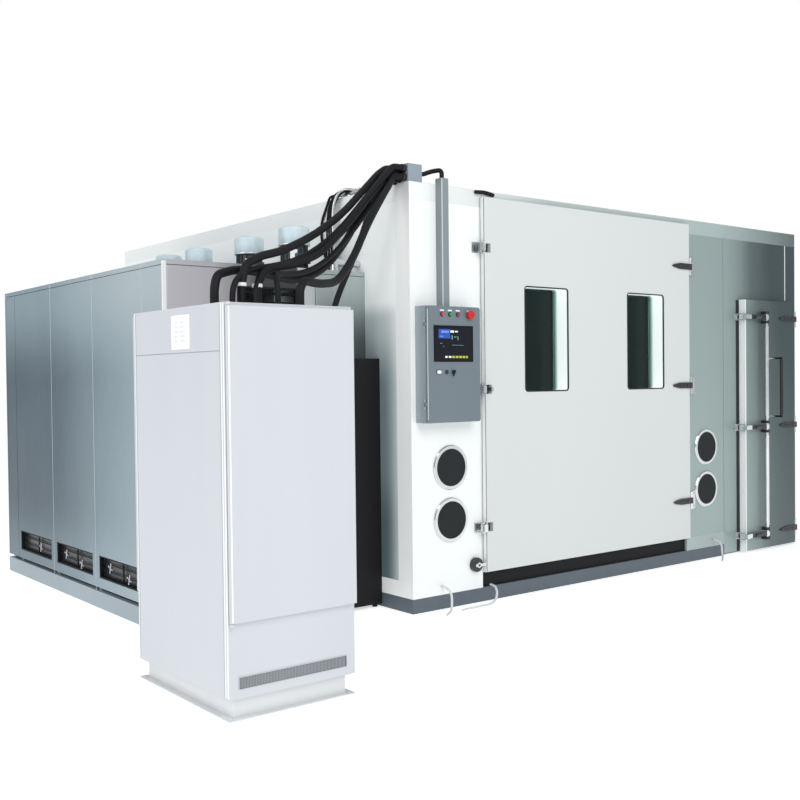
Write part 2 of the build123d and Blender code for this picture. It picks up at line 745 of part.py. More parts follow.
def control_box():
    """Open steel box on the left column, with hinge lugs on its left side."""
    box = block(BOX_LEFT, BOX_RIGHT, -BOX_DEPTH, 0, BOX_BOTTOM, BOX_TOP)
    box = box - block(
        BOX_LEFT + BOX_SHEET, BOX_RIGHT - BOX_SHEET, -BOX_DEPTH, -BOX_SHEET,
        BOX_BOTTOM + BOX_SHEET, BOX_TOP - BOX_SHEET,
    )
    plate = block(BOX_LEFT + 40, BOX_RIGHT - 40, -BOX_SHEET - 3, -BOX_SHEET, BOX_BOTTOM + 60, BOX_TOP - 60)
    box = box + plate
    for row in range(3):
        z = BOX_BOTTOM + 110 + row * 200
        box = box + block(BOX_LEFT + 70, BOX_RIGHT - 70, -BOX_SHEET - 60, -BOX_SHEET - 3, z, z + 110)
    for z in lid_hinge_heights():
        for low, high in ((-34, -13), (13, 34)):
            box = box + bar_z(LID_AXIS_X, LID_AXIS_Y, z + low, z + high, LID_BARREL)
            box = box + block(LID_AXIS_X, BOX_LEFT + 1, LID_AXIS_Y, LID_AXIS_Y + LID_BARREL, z + low, z + high)
        box = box + bar_z(LID_AXIS_X, LID_AXIS_Y, z - 34, z + 34, LID_PIN)
    return box


LID_AXIS_X = BOX_LEFT - LID_BARREL - 2
LID_AXIS_Y = -BOX_DEPTH + 2


def lid_hinge_heights():
    """Heights of the two lid hinges."""
    return (BOX_BOTTOM + 120, BOX_TOP - 120)


def control_panel():
    """Front of the control box, hinged on its left side, with holes for its fittings."""
    z = BOX_BOTTOM + BOX_HEIGHT / 2
    x = BOX_LEFT + BOX_WIDTH / 2
    outline = RectangleRounded(BOX_WIDTH, BOX_HEIGHT, LID_CORNER)
    back = -BOX_DEPTH - 0.5
    lid = extrude(Plane((x, back, z), x_dir=(1, 0, 0), z_dir=(0, -1, 0)) * outline, back - LID_FACE)
    for place, radius in ((RUN_PLACE, BUTTON_RADIUS), (STOP_PLACE, BUTTON_RADIUS), (KEY_PLACE, 8)):
        row = KEY_ROW if place == KEY_PLACE else BUTTON_ROW
        lid = lid - bar_y(BOX_LEFT + place, LID_FACE, back, BOX_BOTTOM + row, radius + 0.4)
    for height in lid_hinge_heights():
        lid = lid + bar_z(LID_AXIS_X, LID_AXIS_Y, height - 12, height + 12, LID_BARREL)
        lid = lid + block(LID_AXIS_X - LID_BARREL, BOX_LEFT + 4, LID_FACE + 2, back, height - 12, height + 12)
        lid = lid + block(LID_AXIS_X - LID_BARREL, LID_AXIS_X, back, LID_AXIS_Y, height - 12, height + 12)
        lid = lid - bar_z(LID_AXIS_X, LID_AXIS_Y, height - 12, height + 12, LID_PIN + PIN_CLEARANCE)
    return lid


def panel_fittings():
    """Screen, lamps, bezels and data socket on the control panel."""
    left = BOX_LEFT + SCREEN_LEFT
    bottom = BOX_BOTTOM + SCREEN_BOTTOM
    screen = block(left, left + SCREEN_WIDTH, LID_FACE - SCREEN_PROUD, LID_FACE, bottom, bottom + SCREEN_HEIGHT)
    fittings = [screen]
    row = BOX_BOTTOM + BUTTON_ROW
    for place in LAMP_PLACES:
        lamp = bar_y(BOX_LEFT + place, LID_FACE - 10, LID_FACE, row, BEZEL_RADIUS)
        fittings.append(chamfer(lamp.faces().sort_by(Axis.Y)[0].edges(), 3))
    for place in (RUN_PLACE, STOP_PLACE):
        ring = bar_y(BOX_LEFT + place, LID_FACE - 6, LID_FACE, row, BEZEL_RADIUS)
        fittings.append(ring - bar_y(BOX_LEFT + place, LID_FACE - 6, LID_FACE, row, BUTTON_RADIUS + 0.4))
    low = BOX_BOTTOM + KEY_ROW
    fittings.append(block(BOX_LEFT + SOCKET_PLACE - 20, BOX_LEFT + SOCKET_PLACE + 20,
                          LID_FACE - 4, LID_FACE, low - 13, low + 13))
    fittings.append(block(BOX_LEFT + COVER_PLACE - 12, BOX_LEFT + COVER_PLACE + 12,
                          LID_FACE - 5, LID_FACE, low - 12, low + 12))
    return group(fittings)


def run_button():
    """Push button in its bezel."""
    x = BOX_LEFT + RUN_PLACE
    z = BOX_BOTTOM + BUTTON_ROW
    return bar_y(x, LID_FACE - 12, LID_FACE + LID_THICKNESS + 6, z, BUTTON_RADIUS)


def estop_button():
    """Mushroom emergency stop button."""
    x = BOX_LEFT + STOP_PLACE
    z = BOX_BOTTOM + BUTTON_ROW
    stem = bar_y(x, LID_FACE - 20, LID_FACE + LID_THICKNESS + 6, z, BUTTON_RADIUS)
    head = bar_y(x, LID_FACE - 36, LID_FACE - 12, z, STOP_RADIUS)
    head = fillet(head.faces().sort_by(Axis.Y)[0].edges(), 9)
    return stem + head


def key_switch():
    """Rotary switch with its lever."""
    x = BOX_LEFT + KEY_PLACE
    z = BOX_BOTTOM + KEY_ROW
    stem = bar_y(x, LID_FACE - 6, LID_FACE + LID_THICKNESS + 6, z, 8)
    knob = bar_y(x, LID_FACE - 14, LID_FACE - 1, z, 13)
    lever = Pos(x, LID_FACE - 16, z) * Rot(0, 25, 0) * Pos(0, 0, -8) * Box(9, 10, 40)
    return stem + knob + lever


def conduit_channel():
    """Vertical trunking from the control box to the roof."""
    return block(TRUNK_X, TRUNK_X + TRUNK_WIDTH, -TRUNK_DEPTH, 0, BOX_TOP, TRUNK_TOP)


def junction_box():
    """Box on the roof's front left corner where the supply cables meet."""
    width, depth, height = JUNCTION_SIZE
    return block(0, width, JUNCTION_BACK, JUNCTION_BACK + depth, CHAMBER_HEIGHT, CHAMBER_HEIGHT + height)


GLAND_Y = (JUNCTION_BACK + 108, JUNCTION_BACK + 37)
GLAND_Z = (CHAMBER_HEIGHT + 86, CHAMBER_HEIGHT + 29)
CABLE_ROUTES = {
    "cable_a": [
        (-26, 113, 2886), (-95, 113, 2886), (-190, 74, 2834),
        (-400, -55, 2690), (-680, -210, 2490), (-980, -345, 2325),
        (-1250, -470, 2215), (-1450, -575, 2165), (-1570, -640, 2110),
        (-1610, -665, 2010), (-1610, -665, 1902),
    ],
    "cable_b": [
        (-26, 42, 2886), (-95, 42, 2886), (-190, -3, 2818),
        (-400, -120, 2655), (-660, -250, 2440), (-930, -370, 2235),
        (-1170, -470, 2150), (-1340, -555, 2120), (-1460, -620, 2080),
        (-1510, -650, 1995), (-1510, -650, 1902),
    ],
    "cable_c": [
        (-26, 113, 2829), (-95, 113, 2829), (-190, 70, 2768),
        (-400, -70, 2600), (-640, -200, 2340), (-870, -300, 2150),
        (-1120, -405, 2065), (-1400, -510, 2090), (-1590, -580, 2090),
        (-1730, -640, 2050), (-1755, -655, 1985),
        (-1755, -655, 1902),
    ],
    "cable_d": [
        (-26, 42, 2829), (-95, 42, 2829), (-190, -44, 2750),
        (-350, -170, 2630), (-560, -310, 2440), (-780, -460, 2200),
        (-980, -590, 2050), (-1180, -710, 2025), (-1310, -775, 2030),
        (-1345, -790, 1985), (-1345, -790, 1902),
    ],
}


def supply_cables():
    """The heavy cables from the junction box to the cabinet, and the short leads near them."""
    cables = [tube(route, CABLE, name) for name, route in CABLE_ROUTES.items()]
    cables.append(tube(
        [(115, 70, 2868), (170, 70, 2868), (228, 40, 2892), (254, -30, 2892), (254, -30, 2835)], 30, "jumper"))
    cables.append(tube([(565, -13, 2783), (650, -13, 2790), (731, -13, 2776)], 26, "heater_lead"))
    cables.append(tube(
        [(30, 800, 2825), (30, 832, 2825), (-12, 874, 2826), (-14, 908, 2768), (-12, 1000, 2640), (-12, 980, 2480),
         (-12, 925, 2360), (-12, 915, 2320), (-12, 915, 2256)], 18, "sensor_lead"))
    return group(cables)


def cable_glands():
    """Glands of the heavy cables at the junction box and on the cabinet's top."""
    glands = []
    for name, route in CABLE_ROUTES.items():
        x, y, z = route[0]
        glands.append(bar_x(x, 0, y, z, GLAND_RADIUS))
        x, y, z = route[-1]
        glands.append(bar_z(x, y, CAB_TOP, z, GLAND_RADIUS))
    return group(glands)


def pipe_fittings():
    """Relief valve on the roof edge, insulated pipe into the side wall, and the hose stubs."""
    valve = bar_y(30, 540, 760, CHAMBER_HEIGHT + 25, 18)
    valve = valve + bar_z(30, 600, CHAMBER_HEIGHT, CHAMBER_HEIGHT + 50, 14)
    valve = valve + bar_z(30, 700, CHAMBER_HEIGHT, CHAMBER_HEIGHT + 50, 14)
    valve = valve + bar_y(30, 755, 800, CHAMBER_HEIGHT + 25, 14)
    pipe = bar_x(-220, 0, 560, ROOM_HEIGHT + 60, 26) + bar_z(-200, 560, ROOM_HEIGHT, ROOM_HEIGHT + 60, 26)
    return group([valve, pipe] + hose_outlets())


def machine_frame():
    """Base channels, deck, posts and top rails of the machine room."""
    base = Pos(ROOM_LEFT, ROOM_FRONT, 0) * channel_ring(ROOM_WIDTH, ROOM_DEPTH, ROOM_BASE - DECK)
    pieces = [base, block(ROOM_LEFT, 0, ROOM_FRONT, ROOM_BACK, ROOM_BASE - DECK, ROOM_BASE)]
    inner_front = ROOM_FRONT + PANEL
    inner_back = ROOM_BACK - PANEL
    inner_left = ROOM_LEFT + PANEL
    z0 = ROOM_WALL_TOP - POST
    for y in [inner_front + POST / 2] + panel_joints() + [inner_back - POST / 2]:
        pieces.append(block(inner_left, inner_left + POST, y - POST / 2, y + POST / 2, ROOM_BASE, z0))
    for y in (inner_front + POST / 2, inner_back - POST / 2):
        pieces.append(block(-POST, 0, y - POST / 2, y + POST / 2, ROOM_BASE, z0))
    pieces.append(block(inner_left, inner_left + POST, inner_front, inner_back, z0, ROOM_WALL_TOP))
    for y in (inner_front, inner_back - POST):
        pieces.append(block(inner_left + POST, 0, y, y + POST, z0, ROOM_WALL_TOP))
    return group(pieces)


def panel_joints():
    """Y of the joints between the side panels."""
    first = ROOM_FRONT + END_PANEL
    last = ROOM_BACK - END_PANEL + 70
    return [first + (last - first) * number / VENT_COUNT for number in range(VENT_COUNT + 1)]


def machine_panels():
    """Sheet panels round the machine room, with a rounded corner towards the front."""
    top = ROOM_WALL_TOP - 4
    gap = PANEL_GAP / 2
    joints = panel_joints()
    x0 = ROOM_LEFT
    x1 = ROOM_LEFT + PANEL
    corner = block(x0, x0 + CORNER_RETURN, ROOM_FRONT, joints[0] - gap, PANEL_BOTTOM, top)
    corner = corner - block(
        x1, x0 + CORNER_RETURN, ROOM_FRONT + PANEL, joints[0] - gap, PANEL_BOTTOM, top
    )
    edge = corner.edges().filter_by(Axis.Z).sort_by(lambda e: e.center().X + e.center().Y)[0]
    panels = [fillet(edge, CORNER_ROUND)]
    for y0, y1 in zip(joints, joints[1:]):
        middle = (y0 + y1) / 2
        panel = block(x0, x1, y0 + gap, y1 - gap, PANEL_BOTTOM, top)
        panel = panel - block(
            x0, x1, middle - VENT_WIDTH / 2, middle + VENT_WIDTH / 2, VENT_BOTTOM, VENT_BOTTOM + VENT_HEIGHT
        )
        panels.append(panel)
    panels.append(block(x0, x1, joints[-1] + gap, ROOM_BACK - PANEL - gap, PANEL_BOTTOM, top))
    panels.append(block(x0, 0, ROOM_BACK - PANEL, ROOM_BACK, PANEL_BOTTOM, top))
    y0 = ROOM_FRONT
    y1 = ROOM_FRONT + PANEL
    outlet = block(x0 + LOUVRE_LEFT, x0 + LOUVRE_RIGHT, y0, y1, PANEL_BOTTOM, top)
    outlet = outlet - block(outlet_left(), outlet_left() + OUTLET_WIDTH, y0, y1, OUTLET_BOTTOM, OUTLET_TOP)
    panels.append(outlet)
    panels.append(block(x0 + LOUVRE_RIGHT + PANEL_GAP, 0, y0, y1, PANEL_BOTTOM, top))
    return group(panels)


def outlet_left():
    """X of the left side of the air outlet in the machine room's front."""
    return ROOM_LEFT + LOUVRE_LEFT + 20


def machine_roof():
    """Roof sheet of the machine room with a hole for each fan shaft."""
    roof = block(ROOM_LEFT, 0, ROOM_FRONT, ROOM_BACK, ROOM_WALL_TOP, ROOM_HEIGHT)
    for y in FAN_PLACES:
        roof = roof - bar_z(FAN_X, y, ROOM_WALL_TOP, ROOM_HEIGHT, SHAFT_RADIUS + 20)
    return roof


def vent_grilles():
    """Frames with bars in the low air inlets, and the dark louvre in the front."""
    pieces = []
    x0 = ROOM_LEFT + 4
    x1 = ROOM_LEFT + PANEL
    joints = panel_joints()
    for y0, y1 in zip(joints, joints[1:]):
        middle = (y0 + y1) / 2
        left = middle - VENT_WIDTH / 2
        right = middle + VENT_WIDTH / 2
        top = VENT_BOTTOM + VENT_HEIGHT
        grille = block(x0, x1, left, right, VENT_BOTTOM, top)
        grille = grille - block(x0, x1, left + 10, right - 10, VENT_BOTTOM + 10, top - 10)
        grille = grille + block(x1 - 8, x1, middle - 5, middle + 5, VENT_BOTTOM + 10, top - 10)
        for number in range(1, 3):
            z = VENT_BOTTOM + VENT_HEIGHT * number / 3
            grille = grille + block(x1 - 6, x1, left + 10, right - 10, z - 3, z + 3)
        pieces.append(grille)
    left = outlet_left()
    right = left + OUTLET_WIDTH
    y0 = ROOM_FRONT + 3
    y1 = ROOM_FRONT + PANEL
    louvre = block(left, right, y0, y1, OUTLET_BOTTOM, OUTLET_TOP)
    louvre = louvre - block(left + 12, right - 12, y0, y1, OUTLET_BOTTOM + 12, OUTLET_TOP - 12)
    pitch = (OUTLET_TOP - OUTLET_BOTTOM - 24) / BLADE_COUNT
    for number in range(BLADE_COUNT):
        z = OUTLET_BOTTOM + 12 + pitch * (number + 0.5)
        blade = Pos((left + right) / 2, (y0 + y1) / 2, z) * Rot(-35, 0, 0) * Box(OUTLET_WIDTH - 20, 26, 2)
        louvre = louvre + blade
    pieces.append(louvre)
    return group(pieces)


def compressors():
    """Refrigeration compressors behind the low air inlets, each on two feet."""
    pieces = []
    z = ROOM_BASE + COMPRESSOR_RADIUS + 40
    for y in COMPRESSOR_PLACES:
        half = COMPRESSOR_LENGTH / 2
        body = bar_y(COMPRESSOR_X, y - half, y + half, z, COMPRESSOR_RADIUS)
        body = fillet(body.edges(), 30)
        body = body + bar_y(COMPRESSOR_X, y - half * 0.55, y - half * 0.45, z, COMPRESSOR_RADIUS + 14)
        head = block(COMPRESSOR_X - 110, COMPRESSOR_X + 110, y - half * 0.1, y + half * 0.7, z, z + 190)
        body = body + head
        for offset in (-half * 0.6, half * 0.6):
            body = body + block(COMPRESSOR_X - 130, COMPRESSOR_X + 130, y + offset - 30, y + offset + 30,
                                ROOM_BASE, z)
        pieces.append(body)
    return group(pieces)


def air_duct():
    """Insulated duct against the left wall, with the cooling coil and the heater rods in it."""
    y0 = DUCT_FRONT
    y1 = DUCT_FRONT + DUCT_LENGTH
    z1 = ROOM_WALL_TOP
    skin = DUCT_SKIN
    casing = block(-DUCT_WIDTH, 0, y0, y1, DUCT_BOTTOM, z1)
    casing = casing - block(-DUCT_WIDTH + skin, 0, y0 + skin, y1 - skin, DUCT_BOTTOM + skin, z1 - skin)
    for y in FAN_PLACES:
        casing = casing - bar_z(FAN_X, y, z1 - skin, z1, SHAFT_RADIUS + 20)
    coil_bottom = RETURN_BOTTOM + RETURN_HEIGHT + 5
    coil = block(-DUCT_WIDTH + skin, 0, y0 + skin, y1 - skin, coil_bottom, coil_bottom + COIL_HEIGHT - 150)
    pieces = [casing, coil]
    for number in range(4):
        x = -DUCT_WIDTH + 120 + number * 120
        pieces.append(bar_y(x, y0 + skin, y1 - skin, coil_bottom + COIL_HEIGHT - 120, 9))
    return group(pieces)


def fan_motors():
    """Four flange motors on the roof, cooling fins below their cowls."""
    motors = []
    z0 = ROOM_HEIGHT
    z1 = z0 + MOTOR_HEIGHT
    for y in FAN_PLACES:
        motor = bar_z(FAN_X, y, z0, z0 + 12, MOTOR_FLANGE) + bar_z(FAN_X, y, z0, z1, MOTOR_RADIUS)
        for number in range(16):
            fin = Pos(FAN_X, y, 0) * Rot(0, 0, number * 22.5) * block(
                MOTOR_RADIUS - 4, MOTOR_RADIUS + 12, -2, 2, z0 + 12, z1
            )
            motor = motor + fin
        motor = motor + block(FAN_X - 50, FAN_X + 50, y - MOTOR_RADIUS - 42, y, z0 + 60, z0 + 130)
        motors.append(motor - bar_z(FAN_X, y, z0, z0 + 60, SHAFT_RADIUS + PIN_CLEARANCE))
    return group(motors)


def fan_cowls():
    """Sheet cowls over the motors' own cooling fans."""
    cowls = []
    z0 = ROOM_HEIGHT + MOTOR_HEIGHT
    for y in FAN_PLACES:
        cowl = bar_z(FAN_X, y, z0, z0 + COWL_HEIGHT, COWL_RADIUS)
        cowl = fillet(cowl.faces().sort_by(Axis.Z)[-1].edges(), 22)
        cowl = cowl - bar_z(FAN_X, y, z0 + 1, z0 + COWL_HEIGHT - 30, COWL_RADIUS - 6)
        cowls.append(cowl)
    return group(cowls)


def blower_wheel(y):
    """Centrifugal wheel on its shaft: back plate, bent blades and a front ring."""
    top = ROOM_HEIGHT - WHEEL_DROP + WHEEL_HEIGHT
    low = ROOM_HEIGHT - WHEEL_DROP
    wheel = bar_z(0, 0, low, ROOM_HEIGHT + 59, SHAFT_RADIUS) + bar_z(0, 0, low, low + 50, 30)
    wheel = wheel + bar_z(0, 0, low, low + 5, WHEEL_RADIUS)
    ring = bar_z(0, 0, top - 5, top, WHEEL_RADIUS) - bar_z(0, 0, top - 5, top, WHEEL_RADIUS * 0.7)
    wheel = wheel + ring
    for number in range(WHEEL_BLADES):
        blade = Rot(0, 0, number * 360 / WHEEL_BLADES) * Pos(WHEEL_RADIUS * 0.8, 0, (low + top) / 2) * Rot(0, 0, 35)
        wheel = wheel + blade * Box(WHEEL_RADIUS * 0.34, 3, WHEEL_HEIGHT - 6)
    return Pos(FAN_X, y, 0) * wheel


def service_cabinet():
    """Black cabinet in the corner between the machine room and the chamber."""
    y1 = ROOM_FRONT
    body = block(-SERVICE_WIDTH, 0, y1 - SERVICE_DEPTH, y1, SERVICE_BOTTOM, SERVICE_BOTTOM + SERVICE_HEIGHT)
    for x in (-SERVICE_WIDTH + 40, -40):
        for y in (y1 - SERVICE_DEPTH + 30, y1 - 30):
            body = body + bar_z(x, y, 0, SERVICE_BOTTOM, 18)
    return body


def cabinet_plinth():
    """Plinth with a bolted floor flange."""
    x0 = CAB_LEFT + PLINTH_INSET
    x1 = CAB_RIGHT - PLINTH_INSET
    y0 = CAB_FRONT + PLINTH_INSET
    y1 = CAB_BACK - PLINTH_INSET
    plinth = block(x0, x1, y0, y1, 0, PLINTH_HEIGHT)
    plinth = plinth - block(x0 + 4, x1 - 4, y0 + 4, y1 - 4, 0, PLINTH_HEIGHT)
    flange = block(CAB_LEFT, CAB_RIGHT, CAB_FRONT, CAB_BACK, 0, FLANGE_THICKNESS)
    flange = flange - block(x0 + 4, x1 - 4, y0 + 4, y1 - 4, 0, FLANGE_THICKNESS)
    for x in (CAB_LEFT + ANCHOR_INSET, CAB_RIGHT - ANCHOR_INSET):
        for y in (CAB_FRONT + ANCHOR_INSET, CAB_BACK - ANCHOR_INSET):
            flange = flange - bar_z(x, y, 0, FLANGE_THICKNESS, ANCHOR_RADIUS)
    return plinth + flange


def cabinet_shell():
    """Sheet body of the electrical cabinet, open behind both doors, vented low at the front."""
    shell = block(CAB_LEFT, CAB_RIGHT, CAB_FRONT, CAB_BACK, PLINTH_HEIGHT, CAB_TOP)
    shell = shell - block(
        CAB_LEFT + CAB_SHEET, CAB_RIGHT - CAB_SHEET, CAB_FRONT, CAB_BACK,
        PLINTH_HEIGHT + CAB_SHEET, CAB_TOP - CAB_SHEET,
    )
    for y0, y1 in ((CAB_FRONT, CAB_FRONT + CAB_SHEET), (CAB_BACK - CAB_SHEET, CAB_BACK)):
        shell = shell + block(CAB_LEFT, CAB_RIGHT, y0, y1, PLINTH_HEIGHT, CAB_DOOR_BOTTOM - 4)
    left = CAB_LEFT + 50
    pitch = (CAB_WIDTH - 100) / GRILLE_SLOTS
    for number in range(GRILLE_SLOTS):
        x = left + pitch * (number + 0.5)
        shell = shell - block(
            x - pitch * 0.3, x + pitch * 0.3, CAB_FRONT, CAB_FRONT + CAB_SHEET,
            GRILLE_BOTTOM, GRILLE_BOTTOM + GRILLE_HEIGHT,
        )
    for route in CABLE_ROUTES.values():
        x, y, z = route[-1]
        shell = shell - bar_z(x, y, CAB_TOP - CAB_SHEET, CAB_TOP, CABLE / 2)
    for x, y in (cabinet_hinge(CAB_FRONT, -1), cabinet_hinge(CAB_BACK, 1)):
        for z0, z1 in ((CAB_DOOR_BOTTOM - 16, CAB_DOOR_BOTTOM - 4), (CAB_TOP - 14, CAB_TOP)):
            back = CAB_FRONT if y < CAB_FRONT else CAB_BACK
            lug = block(x - 10, x + 10, min(y, back), max(y, back), z0, z1) + bar_z(x, y, z0, z1, 10)
            shell = shell + lug
        shell = shell + bar_z(x, y, CAB_DOOR_BOTTOM - 4, CAB_DOOR_BOTTOM + 16, CAB_PIN)
        shell = shell + bar_z(x, y, CAB_TOP - 34, CAB_TOP - 14, CAB_PIN)
    return shell


def cabinet_hinge(face, side):
    """Axis of a cabinet door, inside the door's thickness near its hinge edge."""
    return (CAB_LEFT + CAB_DOOR / 2, face + side * (CAB_DOOR + CAB_DOOR_GAP) / 2)


def cabinet_door(face, side):
    """Folded sheet door, proud of the cabinet's face, with sockets for its two pins."""
    y0 = min(face + side * CAB_DOOR_GAP, face + side * CAB_DOOR)
    y1 = max(face + side * CAB_DOOR_GAP, face + side * CAB_DOOR)
    top = CAB_TOP - 16
    door = block(CAB_LEFT, CAB_RIGHT, y0, y1, CAB_DOOR_BOTTOM, top)
    outer = door.faces().sort_by(Axis.Y)[-1 if side > 0 else 0]
    uprights = door.edges().filter_by(Axis.Z)
    free = [e for e in uprights if e.center().X > CAB_LEFT + 99 and abs(e.center().Y - outer.center().Y) < 0.1]
    door = fillet(free, CAB_ROUND)
    hinge_edge = [e for e in door.edges().filter_by(Axis.Z) if e.center().X < CAB_LEFT + 0.1]
    door = fillet(hinge_edge, (CAB_DOOR - CAB_DOOR_GAP) / 2 - 0.1)
    x, y = cabinet_hinge(face, side)
    for z0, z1 in ((CAB_DOOR_BOTTOM, CAB_DOOR_BOTTOM + 17), (CAB_TOP - 35, top)):
        door = door - bar_z(x, y, z0, z1, CAB_PIN + PIN_CLEARANCE)
    return door


def switchgear():
    """Mounting plate in the cabinet with rows of contactors and wiring ducts."""
    x0 = CAB_LEFT + CAB_SHEET
    x1 = CAB_RIGHT - CAB_SHEET
    y1 = (CAB_FRONT + CAB_BACK) / 2
    z0 = PLINTH_HEIGHT + CAB_SHEET
    plate = block(x0, x1, y1 - 4, y1, z0, CAB_TOP - CAB_SHEET)
    rows = [plate]
    for row in range(5):
        z = z0 + 180 + row * 300
        rows.append(block(x0 + 20, x1 - 20, y1 - 64, y1 - 4, z - 70, z - 20))
        count = 6
        pitch = (x1 - x0 - 80) / count
        for number in range(count):
            x = x0 + 40 + pitch * number
            rows.append(block(x + 6, x + pitch - 6, y1 - 104, y1 - 4, z + 10, z + 130))
    return group(rows)


HOSE_LEFT = [
    (240, -12, 152), (240, -58, 152), (245, -96, 117), (242, -104, 66), (218, -128, 25),
    (176, -158, 11), (126, -186, 9),
]
HOSE_SILL = [
    (672, -12, 110), (672, -55, 110), (660, -90, 80), (636, -112, 45), (596, -128, 18),
    (545, -134, 9), (480, -128, 9), (410, -140, 9), (345, -128, 9), (290, -150, 9),
]
HOSE_RIGHT = [
    (3225, -12, 152), (3225, -58, 152), (3220, -96, 117), (3212, -104, 66), (3186, -128, 25),
    (3146, -156, 11), (3098, -180, 9),
]


def hose_outlets():
    """Short pipe stubs in the front that the drain hoses leave from."""
    stubs = []
    for route, back in ((HOSE_LEFT, 0), (HOSE_SILL, THRESHOLD_RECESS / 2), (HOSE_RIGHT, 0)):
        x, y, z = route[0]
        stubs.append(bar_y(x, y, back, z, HOSE / 2))
    return stubs


MIDDLE_X = (CAB_LEFT + CHAMBER_WIDTH) / 2
MIDDLE_Y = (CAB_FRONT - CAB_DOOR + CHAMBER_DEPTH) / 2

nodes = {
    "base_frame": base_frame(),
    "floor_panel": floor_panel(),
    "door_threshold": door_threshold(),
    "left_wall": left_wall(),
    "wall_panels": wall_panels(),
    "roof_panel": roof_panel(),
    "front_left_column": front_left_column(),
    "front_right_column": front_right_column(),
    "front_panels": front_panels(),
    "door_frames": door_frames(),
    "door_gaskets": door_gaskets(),
    "air_baffle": air_baffle(),
    "port_rings": port_rings(),
    "main_leaf": main_leaf(),
    "window_panes": window_panes(),
    "main_hinge_straps": strap_hinges(HINGE_X, HINGE_Y, LEAF_FACE, LEAF_RIGHT, HINGE_HEIGHTS, STRAP_LENGTH),
    "main_locking_bar": main_locking_bar(),
    "door_brackets": door_brackets(),
    "personnel_door": personnel_door(),
    "bolt_bearings": bolt_bearings(),
    "personnel_hinge_straps": strap_hinges(
        DOOR_HINGE_X, DOOR_HINGE_Y, DOOR_FACE, DOOR_RIGHT, DOOR_HINGE_HEIGHTS, DOOR_STRAP_LENGTH
    ),
    "personnel_locking_bar": personnel_bar(),
    "drain_valve": drain_valve(),
    "drain_lever": drain_lever(),
    "control_box": control_box(),
    "control_panel": control_panel(),
    "panel_fittings": panel_fittings(),
    "run_button": run_button(),
    "estop_button": estop_button(),
    "key_switch": key_switch(),
    "conduit_channel": conduit_channel(),
    "junction_box": junction_box(),
    "supply_cables": supply_cables(),
    "cable_glands": cable_glands(),
    "pipe_fittings": pipe_fittings(),
    "machine_frame": machine_frame(),
    "machine_panels": machine_panels(),
    "machine_roof": machine_roof(),
    "vent_grilles": vent_grilles(),
    "compressors": compressors(),
    "air_duct": air_duct(),
    "fan_motors": fan_motors(),
    "fan_cowls": fan_cowls(),
    "service_cabinet": service_cabinet(),
    "cabinet_plinth": cabinet_plinth(),
    "cabinet_shell": cabinet_shell(),
    "cabinet_front_door": cabinet_door(CAB_FRONT, -1),
    "cabinet_rear_door": cabinet_door(CAB_BACK, 1),
    "switchgear": switchgear(),
    "drain_hose_left": tube(HOSE_LEFT, HOSE, "drain_hose_left"),
    "drain_hose_sill": tube(HOSE_SILL, HOSE, "drain_hose_sill"),
    "drain_hose_right": tube(HOSE_RIGHT, HOSE, "drain_hose_right"),
}
for side_name, x in (("left", PORT_LEFT), ("right", PORT_RIGHT)):
    for level_name, z in zip(("low", "high"), PORT_HEIGHTS):
        nodes[f"port_plug_{side_name}_{level_name}"] = port_plug(x, z)
for number, y in enumerate(FAN_PLACES, 1):
    nodes[f"blower_wheel_{number}"] = blower_wheel(y)

os.makedirs("parts", exist_ok=True)
for name, shape in nodes.items():
    moved = [Pos(-MIDDLE_X, -MIDDLE_Y, 0) * solid for solid in shape.solids()]
    export_step(moved[0] if len(moved) == 1 else Compound(children=moved), f"parts/{name}.step")
print(len(nodes), "nodes; origin moved by", -MIDDLE_X, -MIDDLE_Y)
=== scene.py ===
import bmesh
import bpy
import math
import numpy as np
from mathutils import Matrix


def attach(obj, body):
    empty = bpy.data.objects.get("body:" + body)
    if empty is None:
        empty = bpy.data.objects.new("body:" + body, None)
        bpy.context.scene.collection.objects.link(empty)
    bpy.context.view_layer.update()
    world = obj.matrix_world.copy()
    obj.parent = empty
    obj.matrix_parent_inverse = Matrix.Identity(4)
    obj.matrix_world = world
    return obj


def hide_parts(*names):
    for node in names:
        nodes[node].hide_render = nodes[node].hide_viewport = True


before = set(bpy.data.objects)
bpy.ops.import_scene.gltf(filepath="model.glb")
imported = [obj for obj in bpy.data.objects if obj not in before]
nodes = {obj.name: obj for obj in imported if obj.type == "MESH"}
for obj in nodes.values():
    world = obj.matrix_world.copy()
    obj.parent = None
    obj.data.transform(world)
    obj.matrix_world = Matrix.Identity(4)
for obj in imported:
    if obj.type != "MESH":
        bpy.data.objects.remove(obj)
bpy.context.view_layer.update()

# Camera, standing to the left of the chamber's front at eye height and looking at its far
# corner, with a moderately long lens, so that upright edges stay nearly parallel.
yaw, pitch, roll = (math.radians(angle) for angle in (38.158, -1.129, -0.645))
stand = (-5.4565, -6.867, 1.523)
ahead = np.array([math.sin(yaw) * math.cos(pitch), math.cos(yaw) * math.cos(pitch), math.sin(pitch)])
side = np.array([math.cos(yaw), -math.sin(yaw), 0.0])
above = np.cross(side, ahead)
right_hand = math.cos(roll) * side + math.sin(roll) * above
head_up = -math.sin(roll) * side + math.cos(roll) * above
camera = bpy.data.objects.new("camera", bpy.data.cameras.new("camera"))
camera.matrix_world = Matrix([
    [*row, place] for row, place in zip(np.column_stack([right_hand, head_up, -ahead]).tolist(), stand)
] + [[0, 0, 0, 1]])
camera.data.lens = 46.73
camera.data.sensor_width = 36
camera.data.clip_end = 200
bpy.context.scene.collection.objects.link(camera)
bpy.context.scene.camera = camera

